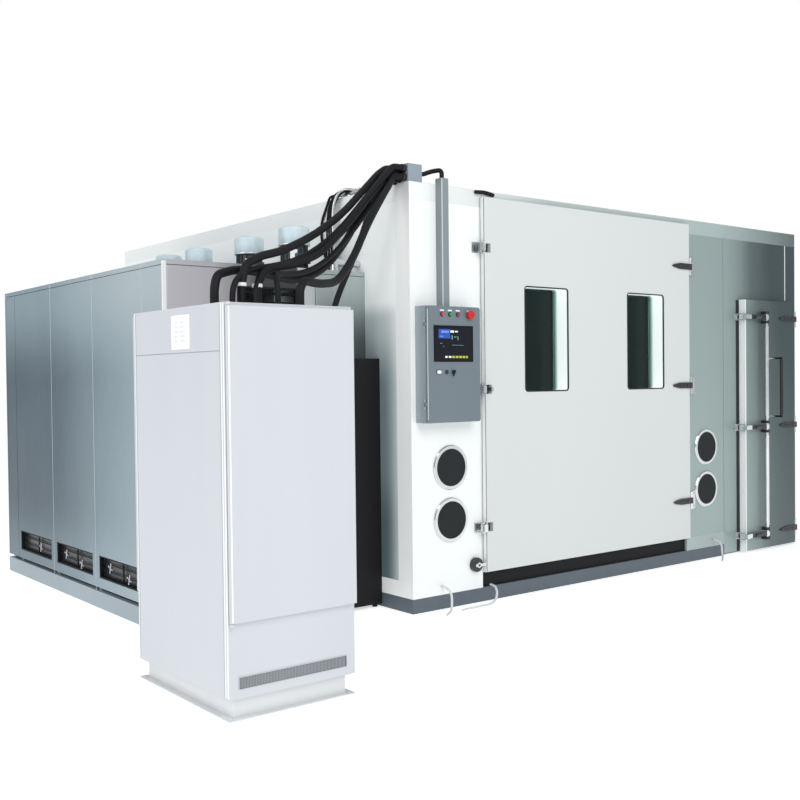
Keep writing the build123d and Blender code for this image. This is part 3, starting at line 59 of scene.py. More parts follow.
# Studio: a pale floor without a pattern, a pale sky all round, and large soft lights over
# the front and the left, so the sheet metal shows even gradients.
world = bpy.data.worlds.new("studio")
world.use_nodes = True
sky = world.node_tree.nodes["Background"]
sky.inputs["Color"].default_value = (0.92, 0.97, 1.0, 1)
sky.inputs["Strength"].default_value = 0.53
backdrop = world.node_tree.nodes.new("ShaderNodeBackground")
backdrop.inputs["Color"].default_value = (1, 1, 1, 1)
ray = world.node_tree.nodes.new("ShaderNodeLightPath")
choice = world.node_tree.nodes.new("ShaderNodeMixShader")
world.node_tree.links.new(ray.outputs["Is Camera Ray"], choice.inputs[0])
world.node_tree.links.new(sky.outputs[0], choice.inputs[1])
world.node_tree.links.new(backdrop.outputs[0], choice.inputs[2])
world.node_tree.links.new(choice.outputs[0], world.node_tree.nodes["World Output"].inputs["Surface"])
bpy.context.scene.world = world
bpy.context.scene.view_settings.view_transform = "Standard"
for name, hang, aim, size, power in (
    ("front_light", (-3.0, -9.5, 6.5), (0.6, -1.0, 1.2), 6.0, 385),
    ("left_light", (-9.5, -0.9, 5.4), (-1.5, 0.8, 1.4), 5.0, 225),
    ("top_light", (1.0, 0.5, 8.5), (1.0, 0.5, 2.0), 6.0, 205),
):
    lamp = bpy.data.objects.new(name, bpy.data.lights.new(name, "AREA"))
    lamp.data.size = size
    lamp.data.energy = power
    away = np.array(hang, float) - np.array(aim, float)
    away /= np.linalg.norm(away)
    across = np.cross((0, 0, 1), away)
    across /= np.linalg.norm(across)
    turn = np.column_stack([across, np.cross(away, across), away]).tolist()
    lamp.matrix_world = Matrix([[*row, place] for row, place in zip(turn, hang)] + [[0, 0, 0, 1]])
    bpy.context.scene.collection.objects.link(lamp)
floor_reach, floor_drop = 60, 0.002
floor_mesh = bpy.data.meshes.new("floor")
floor_mesh.from_pydata(
    [(x * floor_reach, y * floor_reach, -floor_drop) for x, y in ((-1, -1), (1, -1), (1, 1), (-1, 1))],
    [], [(0, 1, 2, 3)])
floor = bpy.data.objects.new("floor", floor_mesh)
bpy.context.scene.collection.objects.link(floor)
floor_paint = bpy.data.materials.new("floor_paint")
floor_paint.use_nodes = True
paint_sockets = floor_paint.node_tree.nodes["Principled BSDF"].inputs
paint_sockets["Base Color"].default_value = (0.78, 0.79, 0.79, 1)
paint_sockets["Roughness"].default_value = 0.95
paint_sockets["Emission Color"].default_value = (1, 1, 1, 1)
paint_sockets["Emission Strength"].default_value = 0.6
floor_mesh.materials.append(floor_paint)


# Coated sheet metal: panels and leaves with a satin powder coat. The coat has a very fine
# orange peel, and soft clouds and streaks where sheets were wiped and the light falls off.
class Value:
    """A number or colour in a material. Sums, products and comparisons add Math nodes."""

    def __init__(self, finish, socket):
        self.finish = finish
        self.socket = socket

    def maths(self, kind, first, second):
        return self.finish.node("ShaderNodeMath", {"operation": kind}, [first, second])

    def __add__(self, other):
        return self.maths("ADD", self, other)

    def __sub__(self, other):
        return self.maths("SUBTRACT", self, other)

    def __rsub__(self, other):
        return self.maths("SUBTRACT", other, self)

    def __mul__(self, other):
        return self.maths("MULTIPLY", self, other)

    def __truediv__(self, other):
        return self.maths("DIVIDE", self, other)

    def __gt__(self, other):
        return self.maths("GREATER_THAN", self, other)

    def __lt__(self, other):
        return self.maths("LESS_THAN", self, other)

    __radd__ = __add__
    __rmul__ = __mul__


class Finish:
    """A material: node() adds any shader node with its settings first and then its inputs."""

    def __init__(self, name, roughness=0.5, metallic=0.0):
        self.material = bpy.data.materials.new(name)
        self.material.use_nodes = True
        self.tree = self.material.node_tree
        self.shader = self.tree.nodes["Principled BSDF"]
        self.shader.inputs["Roughness"].default_value = roughness
        self.shader.inputs["Metallic"].default_value = metallic

    def node(self, kind, settings=None, values=(), output=0):
        new = self.tree.nodes.new(kind)
        for key, value in (settings or {}).items():
            if key == "stops":
                ramp = new.color_ramp.elements
                while len(ramp) < len(value):
                    ramp.new(0.5)
                for element, (place, colour) in zip(ramp, value):
                    element.position = place
                    element.color = (*colour, 1)
            else:
                setattr(new, key, value)
        pairs = values.items() if isinstance(values, dict) else enumerate(values)
        for key, value in pairs:
            self.link(value, new.inputs[key])
        return Value(self, new.outputs[output])

    def link(self, value, socket):
        if isinstance(value, Value):
            self.tree.links.new(value.socket, socket)
        elif isinstance(value, tuple) and len(value) == 3 and socket.type == "RGBA":
            socket.default_value = (*value, 1)
        else:
            socket.default_value = value

    def place(self):
        return self.node("ShaderNodeTexCoord", output="Object")

    def axis(self, number):
        """One coordinate of the place: 0 to the right, 1 to the back, 2 upwards, in metres."""
        return self.node("ShaderNodeSeparateXYZ", None, [self.place()], output=number)

    def noise(self, scale, stretch=(1, 1, 1), detail=3.0):
        """Soft random spots: a small stretch on one axis draws them out along it."""
        spread = self.node("ShaderNodeMapping", None, {"Vector": self.place(), "Scale": stretch})
        return self.node("ShaderNodeTexNoise", None, {"Vector": spread, "Scale": scale, "Detail": detail})

    def blend(self, factor, first, second):
        """The first colour where the factor is nought, the second where it is one."""
        return self.node("ShaderNodeMix", {"data_type": "RGBA"}, {0: factor, 6: first, 7: second}, output=2)

    def set(self, **values):
        for key, value in values.items():
            self.link(value, self.shader.inputs[key.replace("_", " ")])

    def rise(self, value, low, high):
        """Nought below low, one above high, and a smooth S between. Low may be the greater."""
        return self.node("ShaderNodeMapRange", {"interpolation_type": "SMOOTHSTEP"}, {0: value, 1: low, 2: high})

    def ramp(self, value, *stops):
        return self.node("ShaderNodeValToRGB", {"stops": stops}, [value])

    def dull(self, level):
        self.shader.inputs["Specular IOR Level"].default_value = level
        return self

    def relief(self, height, strength, distance):
        """Bumps of the given height map. The distance is in metres."""
        bump = self.node("ShaderNodeBump", None, {"Strength": strength, "Distance": distance, "Height": height})
        self.link(bump, self.shader.inputs["Normal"])

    def wear(self, *names):
        """Puts this finish on the solids with these names."""
        for name in names:
            mesh = nodes[name].data
            if mesh.materials:
                for index in range(len(mesh.materials)):
                    mesh.materials[index] = self.material
            else:
                mesh.materials.append(self.material)


def coated(name, colour, shade, roughness=0.42, peel=0.12):
    """A slow cloud and upright streaks mix the two colours and lift the roughness, and a very
    fine noise makes the peel in the bump."""
    coat = Finish(name, roughness)
    cloud = coat.noise(0.9, (1, 1, 0.35), 2.0)
    streaks = coat.noise(9.0, (1, 1, 0.04), 4.0)
    mixed = cloud * 0.7 + streaks * 0.3
    coat.set(Base_Color=coat.blend(mixed, shade, colour), Roughness=roughness - 0.06 + mixed * 0.12)
    coat.relief(coat.noise(420.0), peel, 0.0008)
    return coat


coated("white_leaf", (0.675, 0.695, 0.685), (0.645, 0.665, 0.655), 0.5).wear("main_leaf")
coated("white_column", (0.94, 0.945, 0.94), (0.85, 0.87, 0.865), 0.4).wear("front_left_column")
coated("trunk_coat", (0.26, 0.295, 0.31), (0.21, 0.245, 0.26), 0.35).wear("conduit_channel")
coated("slate_base", (0.115, 0.14, 0.165), (0.075, 0.095, 0.12), 0.5, 0.25).wear("base_frame")
coated("pale_base", (0.40, 0.46, 0.50), (0.27, 0.32, 0.355), 0.45, 0.25).wear("machine_frame")
coated("junction_coat", (0.30, 0.36, 0.41), (0.22, 0.27, 0.31), 0.4).wear("junction_box")
# The control box and its lid carry one slate paint. The box, seen by its side, is coated lighter as painted light.
coated("slate_lid", (0.175, 0.21, 0.235), (0.145, 0.18, 0.205), 0.38).wear("control_panel")
coated("slate_box_lit_side", (0.32, 0.375, 0.40), (0.27, 0.32, 0.345), 0.38).wear("control_box")
# On the machine room's inlet louvres this black is painted shade for the dark inside the inlets. The service cabinet
# and the threshold are coated black.
coated("black_coat_and_shade", (0.012, 0.012, 0.013), (0.006, 0.006, 0.007), 0.6, 0.2).dull(0.2).wear(
    "service_cabinet", "door_threshold", "vent_grilles")
coated("black_castings", (0.012, 0.013, 0.014), (0.03, 0.031, 0.033), 0.35, 0.5).wear(
    "main_hinge_straps", "personnel_hinge_straps", "bolt_bearings", "drain_valve")
coated("lavender_cabinet", (0.63, 0.645, 0.675), (0.55, 0.565, 0.60), 0.4).wear(
    "cabinet_shell", "cabinet_front_door", "cabinet_rear_door")
coated("pale_plinth", (0.74, 0.75, 0.755), (0.66, 0.67, 0.68), 0.45).wear("cabinet_plinth")
cowl_coat = coated("pale_cowl", (0.55, 0.64, 0.68), (0.36, 0.43, 0.46), 0.35)
# Painted shade: each cowl is coloured darker towards its foot, under its lit top.
cowl_foot_shade = cowl_coat.rise(cowl_coat.axis(2), 2.53, 2.45)
cowl_coat.set(Base_Color=cowl_coat.ramp(
    cowl_coat.noise(14.0, (1, 1, 0.35), 4.0) * 0.9 + cowl_foot_shade * 0.35 - 0.25,
    (0.0, (0.72, 0.83, 0.88)), (0.5, (0.50, 0.60, 0.65)), (1.0, (0.17, 0.21, 0.225))))
cowl_coat.wear("fan_cowls")
coated("motor_castings", (0.028, 0.036, 0.044), (0.05, 0.06, 0.07), 0.45, 0.8).wear(
    "fan_motors", "compressors")
coated("wheel_zinc", (0.42, 0.44, 0.46), (0.3, 0.32, 0.34), 0.4).wear(
    *[f"blower_wheel_{n}" for n in range(1, 5)])
coated("switchgear_grey", (0.55, 0.55, 0.53), (0.2, 0.2, 0.2), 0.5).wear("switchgear")


# Roof and floor panels: their edges follow the sheets they meet, white on the left beside the
# white column and greener and darker towards the right in painted shade. The roof's top is one pale grey.
chamber_left, chamber_width, roof_top = -1.27, 4.5, 2.7985
edge_coat = coated("edge_coat", (0.49, 0.56, 0.54), (0.42, 0.48, 0.475), 0.45)
along = ((edge_coat.axis(0) - chamber_left) / chamber_width
         + edge_coat.noise(1.2, (1, 1, 1), 2.0) * 0.06 - 0.03)
edge_colour_and_shade = edge_coat.ramp(
    along, (0.0, (0.90, 0.91, 0.90)), (0.17, (0.66, 0.70, 0.69)), (0.3, (0.46, 0.52, 0.51)),
    (0.62, (0.42, 0.49, 0.48)), (0.74, (0.38, 0.45, 0.445)), (1.0, (0.12, 0.155, 0.155)))
edge_coat.set(Base_Color=edge_coat.blend(edge_coat.axis(2) < roof_top, (0.60, 0.64, 0.635), edge_colour_and_shade))
edge_coat.wear("roof_panel")
sill_coat = coated("sill_coat", (0.49, 0.56, 0.54), (0.42, 0.48, 0.475), 0.45)
# The floor panel's edge is painted the same way: white at the left, darker towards the right as painted shade.
sill_coat.set(Base_Color=sill_coat.ramp(
    (sill_coat.axis(0) - chamber_left) / chamber_width + sill_coat.noise(2.0) * 0.04,
    (0.0, (0.93, 0.935, 0.93)), (0.2, (0.84, 0.86, 0.855)), (0.6, (0.42, 0.49, 0.485)), (1.0, (0.30, 0.36, 0.355))))
sill_coat.wear("floor_panel")


# The chamber's left wall: the same white coat, bright beside the front column and under the
# roof, with painted shade that makes it dark low down in the gap between the service cabinet and that column.
side_wall = coated("side_wall_coat", (0.62, 0.70, 0.71), (0.40, 0.475, 0.48), 0.38)
wall_y, wall_z = side_wall.axis(1), side_wall.axis(2)
# Painted shade in the gap: darker from about two metres down, darker still lower, and again near the sill.
gap_shade_mask = side_wall.rise(wall_y, -1.60, -1.36) * side_wall.rise(wall_y, 0.4, -0.6)
low_shade = side_wall.rise(wall_z, 2.06, 1.92) * 0.5 + side_wall.rise(wall_z, 1.92, 1.45) * 0.5
sill_shade = side_wall.rise(wall_z, 0.95, 0.55)
wall_tone_and_shade = (1 - gap_shade_mask * (low_shade * 0.72 + 0.04) - gap_shade_mask * sill_shade * 0.14
             + side_wall.noise(1.1, (1, 1, 0.3)) * 0.12 - 0.06)
side_wall.set(Base_Color=side_wall.ramp(
    wall_tone_and_shade, (0.0, (0.055, 0.08, 0.083)), (0.25, (0.20, 0.265, 0.275)), (0.55, (0.46, 0.53, 0.535)),
    (1.0, (0.97, 0.98, 0.975))))
side_wall.wear("left_wall")


# Stainless and galvanised sheet: fine upright brush lines, and slow changes of tone painted in
# as the reflection of the room in each sheet.
def brushed(name, colour, shade, roughness, metallic, grain):
    """A noise stretched along the brushing direction drives tone, roughness and bump."""
    sheet = Finish(name, roughness, metallic)
    lines = sheet.noise(120.0, grain, 3.0)
    slow = sheet.noise(1.4, (1, 1, 0.25), 1.0)
    tone = lines * 0.35 + slow * 0.65
    sheet.set(Base_Color=sheet.blend(tone, shade, colour), Roughness=roughness - 0.08 + lines * 0.16)
    sheet.relief(lines, 0.1, 0.0005)
    return sheet


upright = (1, 1, 0.02)
front_sheet = brushed("stainless_front", (0.36, 0.43, 0.42), (0.22, 0.28, 0.275), 0.38, 0.3, upright)
# Painted shade on the front sheets: pale at the left, darker towards the right and again towards the top.
shade_to_the_right = front_sheet.rise(front_sheet.axis(0), 1.6, 3.15)
shade_to_the_top = front_sheet.rise(front_sheet.axis(2), 0.2, 2.6)
front_sheet.set(Base_Color=front_sheet.ramp(
    shade_to_the_right + front_sheet.noise(1.0, (1, 1, 0.3), 1.0) * 0.16 + front_sheet.noise(130.0, upright) * 0.08
    + shade_to_the_top * 0.2 - 0.235,
    (0.0, (0.35, 0.425, 0.415)), (0.4, (0.31, 0.385, 0.375)), (0.60, (0.225, 0.28, 0.275)),
    (0.74, (0.115, 0.15, 0.15)), (1.0, (0.05, 0.075, 0.08))))
front_sheet.wear("front_right_column", "front_panels", "personnel_door", "door_frames")
brushed("stainless_inside", (0.56, 0.6, 0.6), (0.45, 0.49, 0.49), 0.4, 0.45, upright).wear(
    "wall_panels", "air_baffle")
room_sheet = brushed("zinc_sheet", (0.27, 0.335, 0.37), (0.17, 0.215, 0.245), 0.42, 0.3, (1, 1, 0.05))
room_x, room_y, room_z = room_sheet.axis(0), room_sheet.axis(1), room_sheet.axis(2)
room_left, room_width, room_front = -2.75, 1.5, -1.1245
# Painted light on the machine room's sides: lighter towards the front, the top and the foot, with slow random tone.
lit_near_front = room_sheet.rise(room_y, 1.0, -1.1)
lit_near_top = room_sheet.rise(room_z, 1.5, 2.2)
lit_near_foot = room_sheet.rise(room_z, 0.7, 0.1)
room_light_and_shade = (lit_near_front * 0.5 + lit_near_top * 0.42 + lit_near_foot * 0.2
             + room_sheet.noise(1.3, (1, 1, 0.4), 2.0) * 0.2 + room_sheet.noise(140.0, (1, 1, 0.05)) * 0.1 - 0.15)
side_colour_lit = room_sheet.ramp(room_light_and_shade, (0.0, (0.055, 0.09, 0.12)), (0.45, (0.265, 0.34, 0.38)),
                              (1.0, (0.49, 0.55, 0.575)))
# The front face across its width: the panels' own tones, and a dark band painted in as the shadow of the cables.
front_colour_and_shadow = room_sheet.ramp(
    (room_x - room_left) / room_width + room_sheet.noise(1.6, (1, 1, 0.4), 2.0) * 0.03 - 0.015,
    (0.0, (0.50, 0.48, 0.51)), (0.225, (0.42, 0.405, 0.43)), (0.36, (0.20, 0.197, 0.207)),
    (0.44, (0.05, 0.05, 0.055)), (0.626, (0.045, 0.045, 0.05)), (0.634, (0.58, 0.61, 0.61)),
    (0.724, (0.54, 0.57, 0.57)), (0.73, (0.42, 0.475, 0.47)), (1.0, (0.38, 0.44, 0.435)))
# Painted shade: the front face goes dark low down beside the chamber's wall.
front_low_shade = room_sheet.rise(room_z, 2.2, 1.75) * room_sheet.rise(room_x, -1.70, -1.60)
front_colour_and_shadow = room_sheet.blend(front_low_shade * 0.9, front_colour_and_shadow, (0.05, 0.065, 0.07))
room_sheet.set(Base_Color=room_sheet.blend(room_y < room_front, side_colour_lit, front_colour_and_shadow))
room_sheet.wear("machine_panels", "machine_roof", "air_duct")
brushed("bright_steel", (0.78, 0.79, 0.80), (0.55, 0.56, 0.58), 0.16, 0.95, (1, 1, 0.3)).wear(
    "port_rings", "main_locking_bar", "door_brackets", "drain_lever", "pipe_fittings")
bar_steel = brushed("bar_steel", (0.52, 0.53, 0.545), (0.3, 0.31, 0.325), 0.2, 0.9, (1, 1, 0.3))
bar_x = bar_steel.axis(0)
sleeve_mask = (bar_x > 2.385) * (bar_x < 2.598)
# Painted shade: the right half of the bar and its tubes is coloured nearly black, the left half bright chrome.
shaded_right_half = bar_steel.rise(bar_x, 2.617, 2.625)
bright_bar = bar_steel.blend(bar_steel.noise(40.0, (1, 1, 0.1)), (0.62, 0.63, 0.64), (0.92, 0.93, 0.94))
bright_bar = bar_steel.blend(shaded_right_half, bright_bar, (0.02, 0.021, 0.023))
bar_steel.set(Base_Color=bar_steel.blend(sleeve_mask, bright_bar, (0.013, 0.013, 0.014)),
              Metallic=0.9 - sleeve_mask * 0.9)
bar_steel.wear("personnel_locking_bar")


# Rubber, plastics and glass: gaskets, cable jackets, port plugs, knobs and the window panes.
def moulded(name, colour, roughness, grain, relief):
    """One colour with a fine moulded grain that also lifts the roughness."""
    skin = Finish(name, roughness)
    speck = skin.noise(grain, (1, 1, 1), 4.0)
    pale = tuple(min(1.0, part * 1.35 + 0.004) for part in colour)
    skin.set(Base_Color=skin.blend(speck, colour, pale), Roughness=roughness - 0.05 + speck * 0.1)
    skin.relief(speck, relief, 0.0006)
    return skin


moulded("gasket_silicone", (0.03, 0.03, 0.032), 0.6, 300.0, 0.2).wear("door_gaskets")
moulded("plug_foam", (0.030, 0.035, 0.036), 0.6, 60.0, 0.12).wear(
    "port_plug_left_low", "port_plug_left_high", "port_plug_right_low", "port_plug_right_high")
moulded("cable_jacket", (0.004, 0.004, 0.005), 0.6, 500.0, 0.2).dull(0.25).wear("supply_cables")
moulded("gland_nylon", (0.012, 0.012, 0.013), 0.4, 300.0, 0.2).wear("cable_glands", "key_switch")
moulded("fitting_plastic", (0.02, 0.02, 0.024), 0.25, 200.0, 0.1).wear("panel_fittings")
moulded("green_cap", (0.01, 0.28, 0.05), 0.3, 200.0, 0.1).wear("run_button")
moulded("red_cap", (0.52, 0.006, 0.006), 0.3, 200.0, 0.1).wear("estop_button")
glass = Finish("pane_glass", 0.04)
glass.set(Base_Color=glass.blend(glass.noise(2.0), (0.01, 0.03, 0.028), (0.02, 0.045, 0.042)), Alpha=0.12)
glass.wear("window_panes")


# Drain hoses: thin silver reinforced tubes that run from stubs in the base to the floor and
# end open over the floor drain. Each route repeats the solid's own points.
front_corner = np.array((1262.5, 1645.0, 0.0))


def metres(points):
    """Points in millimetres from the chamber's front left corner, moved to the frame's metres."""
    return (np.asarray(points, float) - front_corner) / 1000


hose_skin = Finish("hose_skin", 0.35)
braid = hose_skin.node(
    "ShaderNodeTexWave", None, {"Vector": hose_skin.place(), "Scale": 120.0, "Distortion": 1.0})
hose_skin.set(Base_Color=hose_skin.blend(braid, (0.55, 0.56, 0.56), (0.8, 0.81, 0.81)), Roughness=0.3 + braid * 0.15)
hose_skin.relief(braid, 0.15, 0.0006)
hose_diameter, shortened_by_curves = 0.016, 0.965
hose_routes = {
    "left": [(240, -12, 152), (240, -58, 152), (245, -96, 117), (242, -104, 66), (218, -128, 25),
             (176, -158, 11), (126, -186, 9)],
    "sill": [(672, -12, 110), (672, -55, 110), (660, -90, 80), (636, -112, 45), (596, -128, 18),
             (545, -134, 9), (480, -128, 9), (410, -140, 9), (345, -128, 9), (290, -150, 9)],
    "right": [(3225, -12, 152), (3225, -58, 152), (3220, -96, 117), (3212, -104, 66), (3186, -128, 25),
              (3146, -156, 11), (3098, -180, 9)],
}
for name, route in hose_routes.items():
    line = bpy.data.curves.new(f"hose_{name}", "CURVE")
    line.dimensions = "3D"
    line.bevel_depth = hose_diameter / 2
    line.bevel_resolution = 5
    line.resolution_u = 12
    line.use_fill_caps = True
    spline = line.splines.new("NURBS")
    spline.points.add(len(route) - 1)
    for point, where in zip(spline.points, route):
        point.co = (*metres(where).tolist(), 1)
    spline.order_u = 3
    spline.use_endpoint_u = True
    hose = bpy.data.objects.new(f"hose_{name}", line)
    bpy.context.scene.collection.objects.link(hose)
    line.materials.append(hose_skin.material)
    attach(hose, "chamber")
    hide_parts(f"drain_hose_{name}")


# Small sheet-metal and turned pieces. A plate is a rounded rectangle with soft edges, a turned
# piece is a profile swept round an axis, and a run of like pieces is joined into one mesh.
def shell(name, sheets, finish, body):
    """Joins grids of points, rows by columns, into closed skins: each column ring meets its own
    start, and a row of equal points closes an end."""
    points, quads, start = [], [], 0
    for sheet in sheets:
        rows, columns = sheet.shape[:2]
        index = np.arange(rows * columns).reshape(rows, columns) + start
        low, high = index[:-1], index[1:]
        quads.append(np.stack([low, np.roll(low, -1, 1), np.roll(high, -1, 1), high], -1).reshape(-1, 4))
        points.append(sheet.reshape(-1, 3))
        start += rows * columns
    mesh = bpy.data.meshes.new(name)
    mesh.from_pydata(np.concatenate(points).tolist(), [], np.concatenate(quads).tolist())
    work = bmesh.new()
    work.from_mesh(mesh)
    bmesh.ops.remove_doubles(work, verts=work.verts, dist=0.00001)
    bmesh.ops.recalc_face_normals(work, faces=work.faces)
    work.to_mesh(mesh)
    work.free()
    mesh.materials.append(finish.material)
    piece = bpy.data.objects.new(name, mesh)
    bpy.context.scene.collection.objects.link(piece)
    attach(piece, body)
    return piece


def plate(x0, x1, y0, y1, z0, z1, corner=2.0, edge=0.6):
    """Rounded rectangle in X and Z, carried from y1 to y0 with its rim drawn in by the edge at
    both faces. The outline is four quarter circles one after another."""
    turn = np.linspace(0, 2 * math.pi, 24, endpoint=False) + math.pi / 48
    centre = np.array([(x0 + x1) / 2, (z0 + z1) / 2])
    reach = np.array([(x1 - x0) / 2, (z1 - z0) / 2])
    rows = []
    for depth, inset in ((y1, None), (y1, edge), (y1 - edge, 0), (y0 + edge, 0), (y0, edge), (y0, None)):
        bend = max(corner - (inset or 0), 0.01)
        if inset is None:
            ring = np.repeat(centre[None], len(turn), 0)
        else:
            unit = np.stack([np.cos(turn), np.sin(turn)], -1)
            ring = centre + np.sign(unit) * (reach - inset - bend) + unit * bend
        rows.append(np.stack([ring[:, 0], np.full(len(turn), depth), ring[:, 1]], -1))
    return metres(rows)


def side_plate(face, y0, y1, z0, z1, proud, corner=1.0, edge=0.3):
    """A plate laid on a face that looks to the left: the flat plate's X runs along -Y."""
    flat = plate(0, y1 - y0, -proud, 0, z0, z1, corner, edge) * 1000 + front_corner
    return metres(np.stack([face + flat[..., 1], y1 - flat[..., 0], flat[..., 2]], -1))


def turned(profile, centre, axis, steps=24):
    """Each (radius, height) of the profile drawn as a ring round the axis through the centre."""
    along = np.array(axis, float)
    first = np.cross(along, (0.3, 0.5, 0.81))
    first /= np.linalg.norm(first)
    second = np.cross(along, first)
    turn = np.linspace(0, 2 * math.pi, steps, endpoint=False)[None, :, None]
    radius, height = np.array(profile, float).T[:, :, None, None]
    ring = radius * (np.cos(turn) * first + np.sin(turn) * second) + height * along
    return metres(ring + np.array(centre, float))


to_front, to_left, to_top = (0, -1, 0), (-1, 0, 0), (0, 0, 1)
bolt_zinc = brushed("bolt_zinc", (0.62, 0.63, 0.65), (0.4, 0.41, 0.43), 0.3, 0.9, (1, 1, 1))
bolt_black_and_shade = coated("bolt_black_and_shade", (0.02, 0.02, 0.022), (0.05, 0.05, 0.055), 0.35, 0.3)


def hex_bolt(x, y, z, across, rise):
    """A six-sided head with a chamfered top, standing out towards the front from y."""
    profile = [(0, 0), (across, 0), (across, rise * 0.8), (across * 0.8, rise), (0, rise)]
    return turned(profile, (x, y, z), to_front, 6)


# Hinge and keeper screws: hex heads through the straps of both leaves and through the bracket
# and keeper plates into the front panels.
main_heights, side_heights = (511, 1450, 2410), (150, 1080, 2025)
main_strap_face, side_strap_face, bracket_face = -50, -72, -8
shell("main_strap_screws", [hex_bolt(x, main_strap_face, z, 7, 5) for z in main_heights for x in (2745, 2790, 2835)],
      bolt_black_and_shade, "main_door")
shell("side_strap_screws", [hex_bolt(x, side_strap_face, z, 7, 5) for z in side_heights for x in (4220, 4275, 4330)],
      bolt_black_and_shade, "side_door")
shell("bracket_screws", [
    hex_bolt(x, bracket_face, z + dz, across, rise)
    for places, across, rise in (
        (((2966, main_heights, 52), (4472, side_heights, 52)), 8, 6),
        (((550, main_heights, 30), (3545, side_heights, 22)), 5, 4))
    for x, heights, reach in places for z in heights for dz in (-reach, reach)
], bolt_zinc, "chamber")


# Edge trims: down the free edge of each leaf a white strip, painted highlight on its side face,
# and a black strip, painted shadow of the gap; black ribbed rubber on the locking bar's arms, and the raised cover
# strip over a panel joint.
white_trim_and_highlight = coated("white_trim_and_highlight", (0.93, 0.94, 0.94), (0.86, 0.87, 0.87), 0.3)
black_seal_and_shadow = moulded("black_seal_and_shadow", (0.01, 0.01, 0.011), 0.5, 300.0, 0.2)
# Painted shadow: a black line on the main leaf's face along its free edge.
shell("main_edge_shadow_line", [plate(614, 617.5, -40.7, -40, z0, z1, 0.5, 0.2)
                         for z0, z1 in ((210, 478), (546, 1415), (1485, 2374), (2446, 2748))],
      black_seal_and_shadow, "main_door")
# Painted highlight: a white strip over the main leaf's side face.
shell("main_edge_highlight", [plate(611.6, 613.4, -38, -11, z0, z1, 0.6, 0.3)
                         for z0, z1 in ((206, 478), (546, 1415), (1485, 2374), (2446, 2750))],
      white_trim_and_highlight, "main_door")
side_leaf_foot, side_leaf_top = 17, 2173
# Painted highlight: white strips on the personnel leaf's side face and along its front edge.
shell("side_edge_highlight", [plate(3603.2, 3605.2, -66, -14, side_leaf_foot, side_leaf_top, 0.6, 0.3),
                         plate(3604, 3622, -69.5, -67.8, side_leaf_foot, side_leaf_top, 0.8, 0.4)],
      white_trim_and_highlight, "side_door")
side_bar_x, side_bar_y, arm_rubber = 3880, -102, 90
ribs = [(17.5 + 1.2 * (k % 2), 6 + 9 * k) for k in range(9)]
shell("arm_sleeves", [turned([(0, 0), (15, 0), *ribs, (15, arm_rubber), (0, arm_rubber)],
                             (side_bar_x - 2 * arm_rubber, side_bar_y, z), (1, 0, 0), 20) for z in side_heights],
      bolt_black_and_shade, "side_latch")
# Painted shadow: a black strip on the frame in the gap beside the personnel leaf.
shell("side_gap_shadow", [plate(3577, 3600, -5, 0, 17, 2170, 2, 0.5)], black_seal_and_shadow, "chamber")
shell("panel_joint_cover", [plate(4325, 4334, -2.5, 0, 2190, 2684, 1, 0.5)],
      white_trim_and_highlight, "chamber")


# Tubes on the personnel door's locking bar: chromed tube slid over the bar between its
# bearings, with a small collar at each end, and a black grip on the upright of its handle.
bore, tube, collar = 13.5, 18.5, 20
shell("bar_tubes", [turned([(bore, 0), (collar, 1), (collar, 14), (tube, 16), (tube, length - 16),
                            (collar, length - 14), (collar, length - 1), (bore, length), (bore, 0)],
                           (side_bar_x, side_bar_y, z), to_top, 28)
                    for z, length in ((225, 780), (1155, 795))], bar_steel, "side_latch")
shell("handle_grip", [turned([(8.4, 0), (13, 1), (14.5, 8), (14.5, 476), (13, 483), (8.4, 484), (8.4, 0)],
                             (3902.6, -230, 1178), to_top, 28)],
      moulded("grip_black", (0.010, 0.010, 0.011), 0.4, 300.0, 0.1), "side_latch")


# Window surrounds: a slim round rubber bead along each pane's edge, on the outer and on the
# inner face of the leaf.
def bead(x, z, half_x, half_z, y, thick, corner):
    """A round bead carried along a rounded rectangle: centre line plus a small circle in each
    station's own plane."""
    turn = np.linspace(0, 2 * math.pi, 64, endpoint=False) + math.pi / 64
    unit = np.stack([np.cos(turn), np.sin(turn)], -1)
    line = np.sign(unit) * (np.array([half_x, half_z]) - corner) + unit * corner
    roll_round = np.linspace(0, 2 * math.pi, 9)[:, None]
    out = thick * np.cos(roll_round)
    ring_x = x + line[None, :, 0] + out * unit[None, :, 0]
    ring_z = z + line[None, :, 1] + out * unit[None, :, 1]
    ring_y = y + thick * np.sin(roll_round) + 0 * ring_x
    return metres(np.stack([ring_x, ring_y, ring_z], -1))


window_x, window_z = (1219, 2322), 1798
shell("window_beads", [bead(x, window_z, 221, 368, y, 5.5, 24) for x in window_x for y in (-37.5, 117.5)],
      black_seal_and_shadow, "main_door")


# Window linings: white folded sheet round the space between the panes. Its colour is painted light,
# teal in its depth and white towards the front as from the chamber's lamps through the inner pane, and the same ramp
# is set as a glow.
lining = Finish("window_lining", 0.4)
lit_towards_front = lining.rise(lining.axis(1), -1.535, -1.60) * 0.95 + lining.noise(6.0, (1, 1, 0.3)) * 0.16 - 0.06
lining.set(
    Base_Color=lining.ramp(
        lit_towards_front, (0.0, (0.05, 0.16, 0.14)), (0.35, (0.35, 0.52, 0.48)), (0.8, (0.85, 0.88, 0.87))),
    Emission_Color=lining.ramp(
        lit_towards_front, (0.0, (0.0, 0.02, 0.016)), (0.35, (0.12, 0.26, 0.23)), (0.8, (0.78, 0.86, 0.85))))
lining.shader.inputs["Emission Strength"].default_value = 0.85


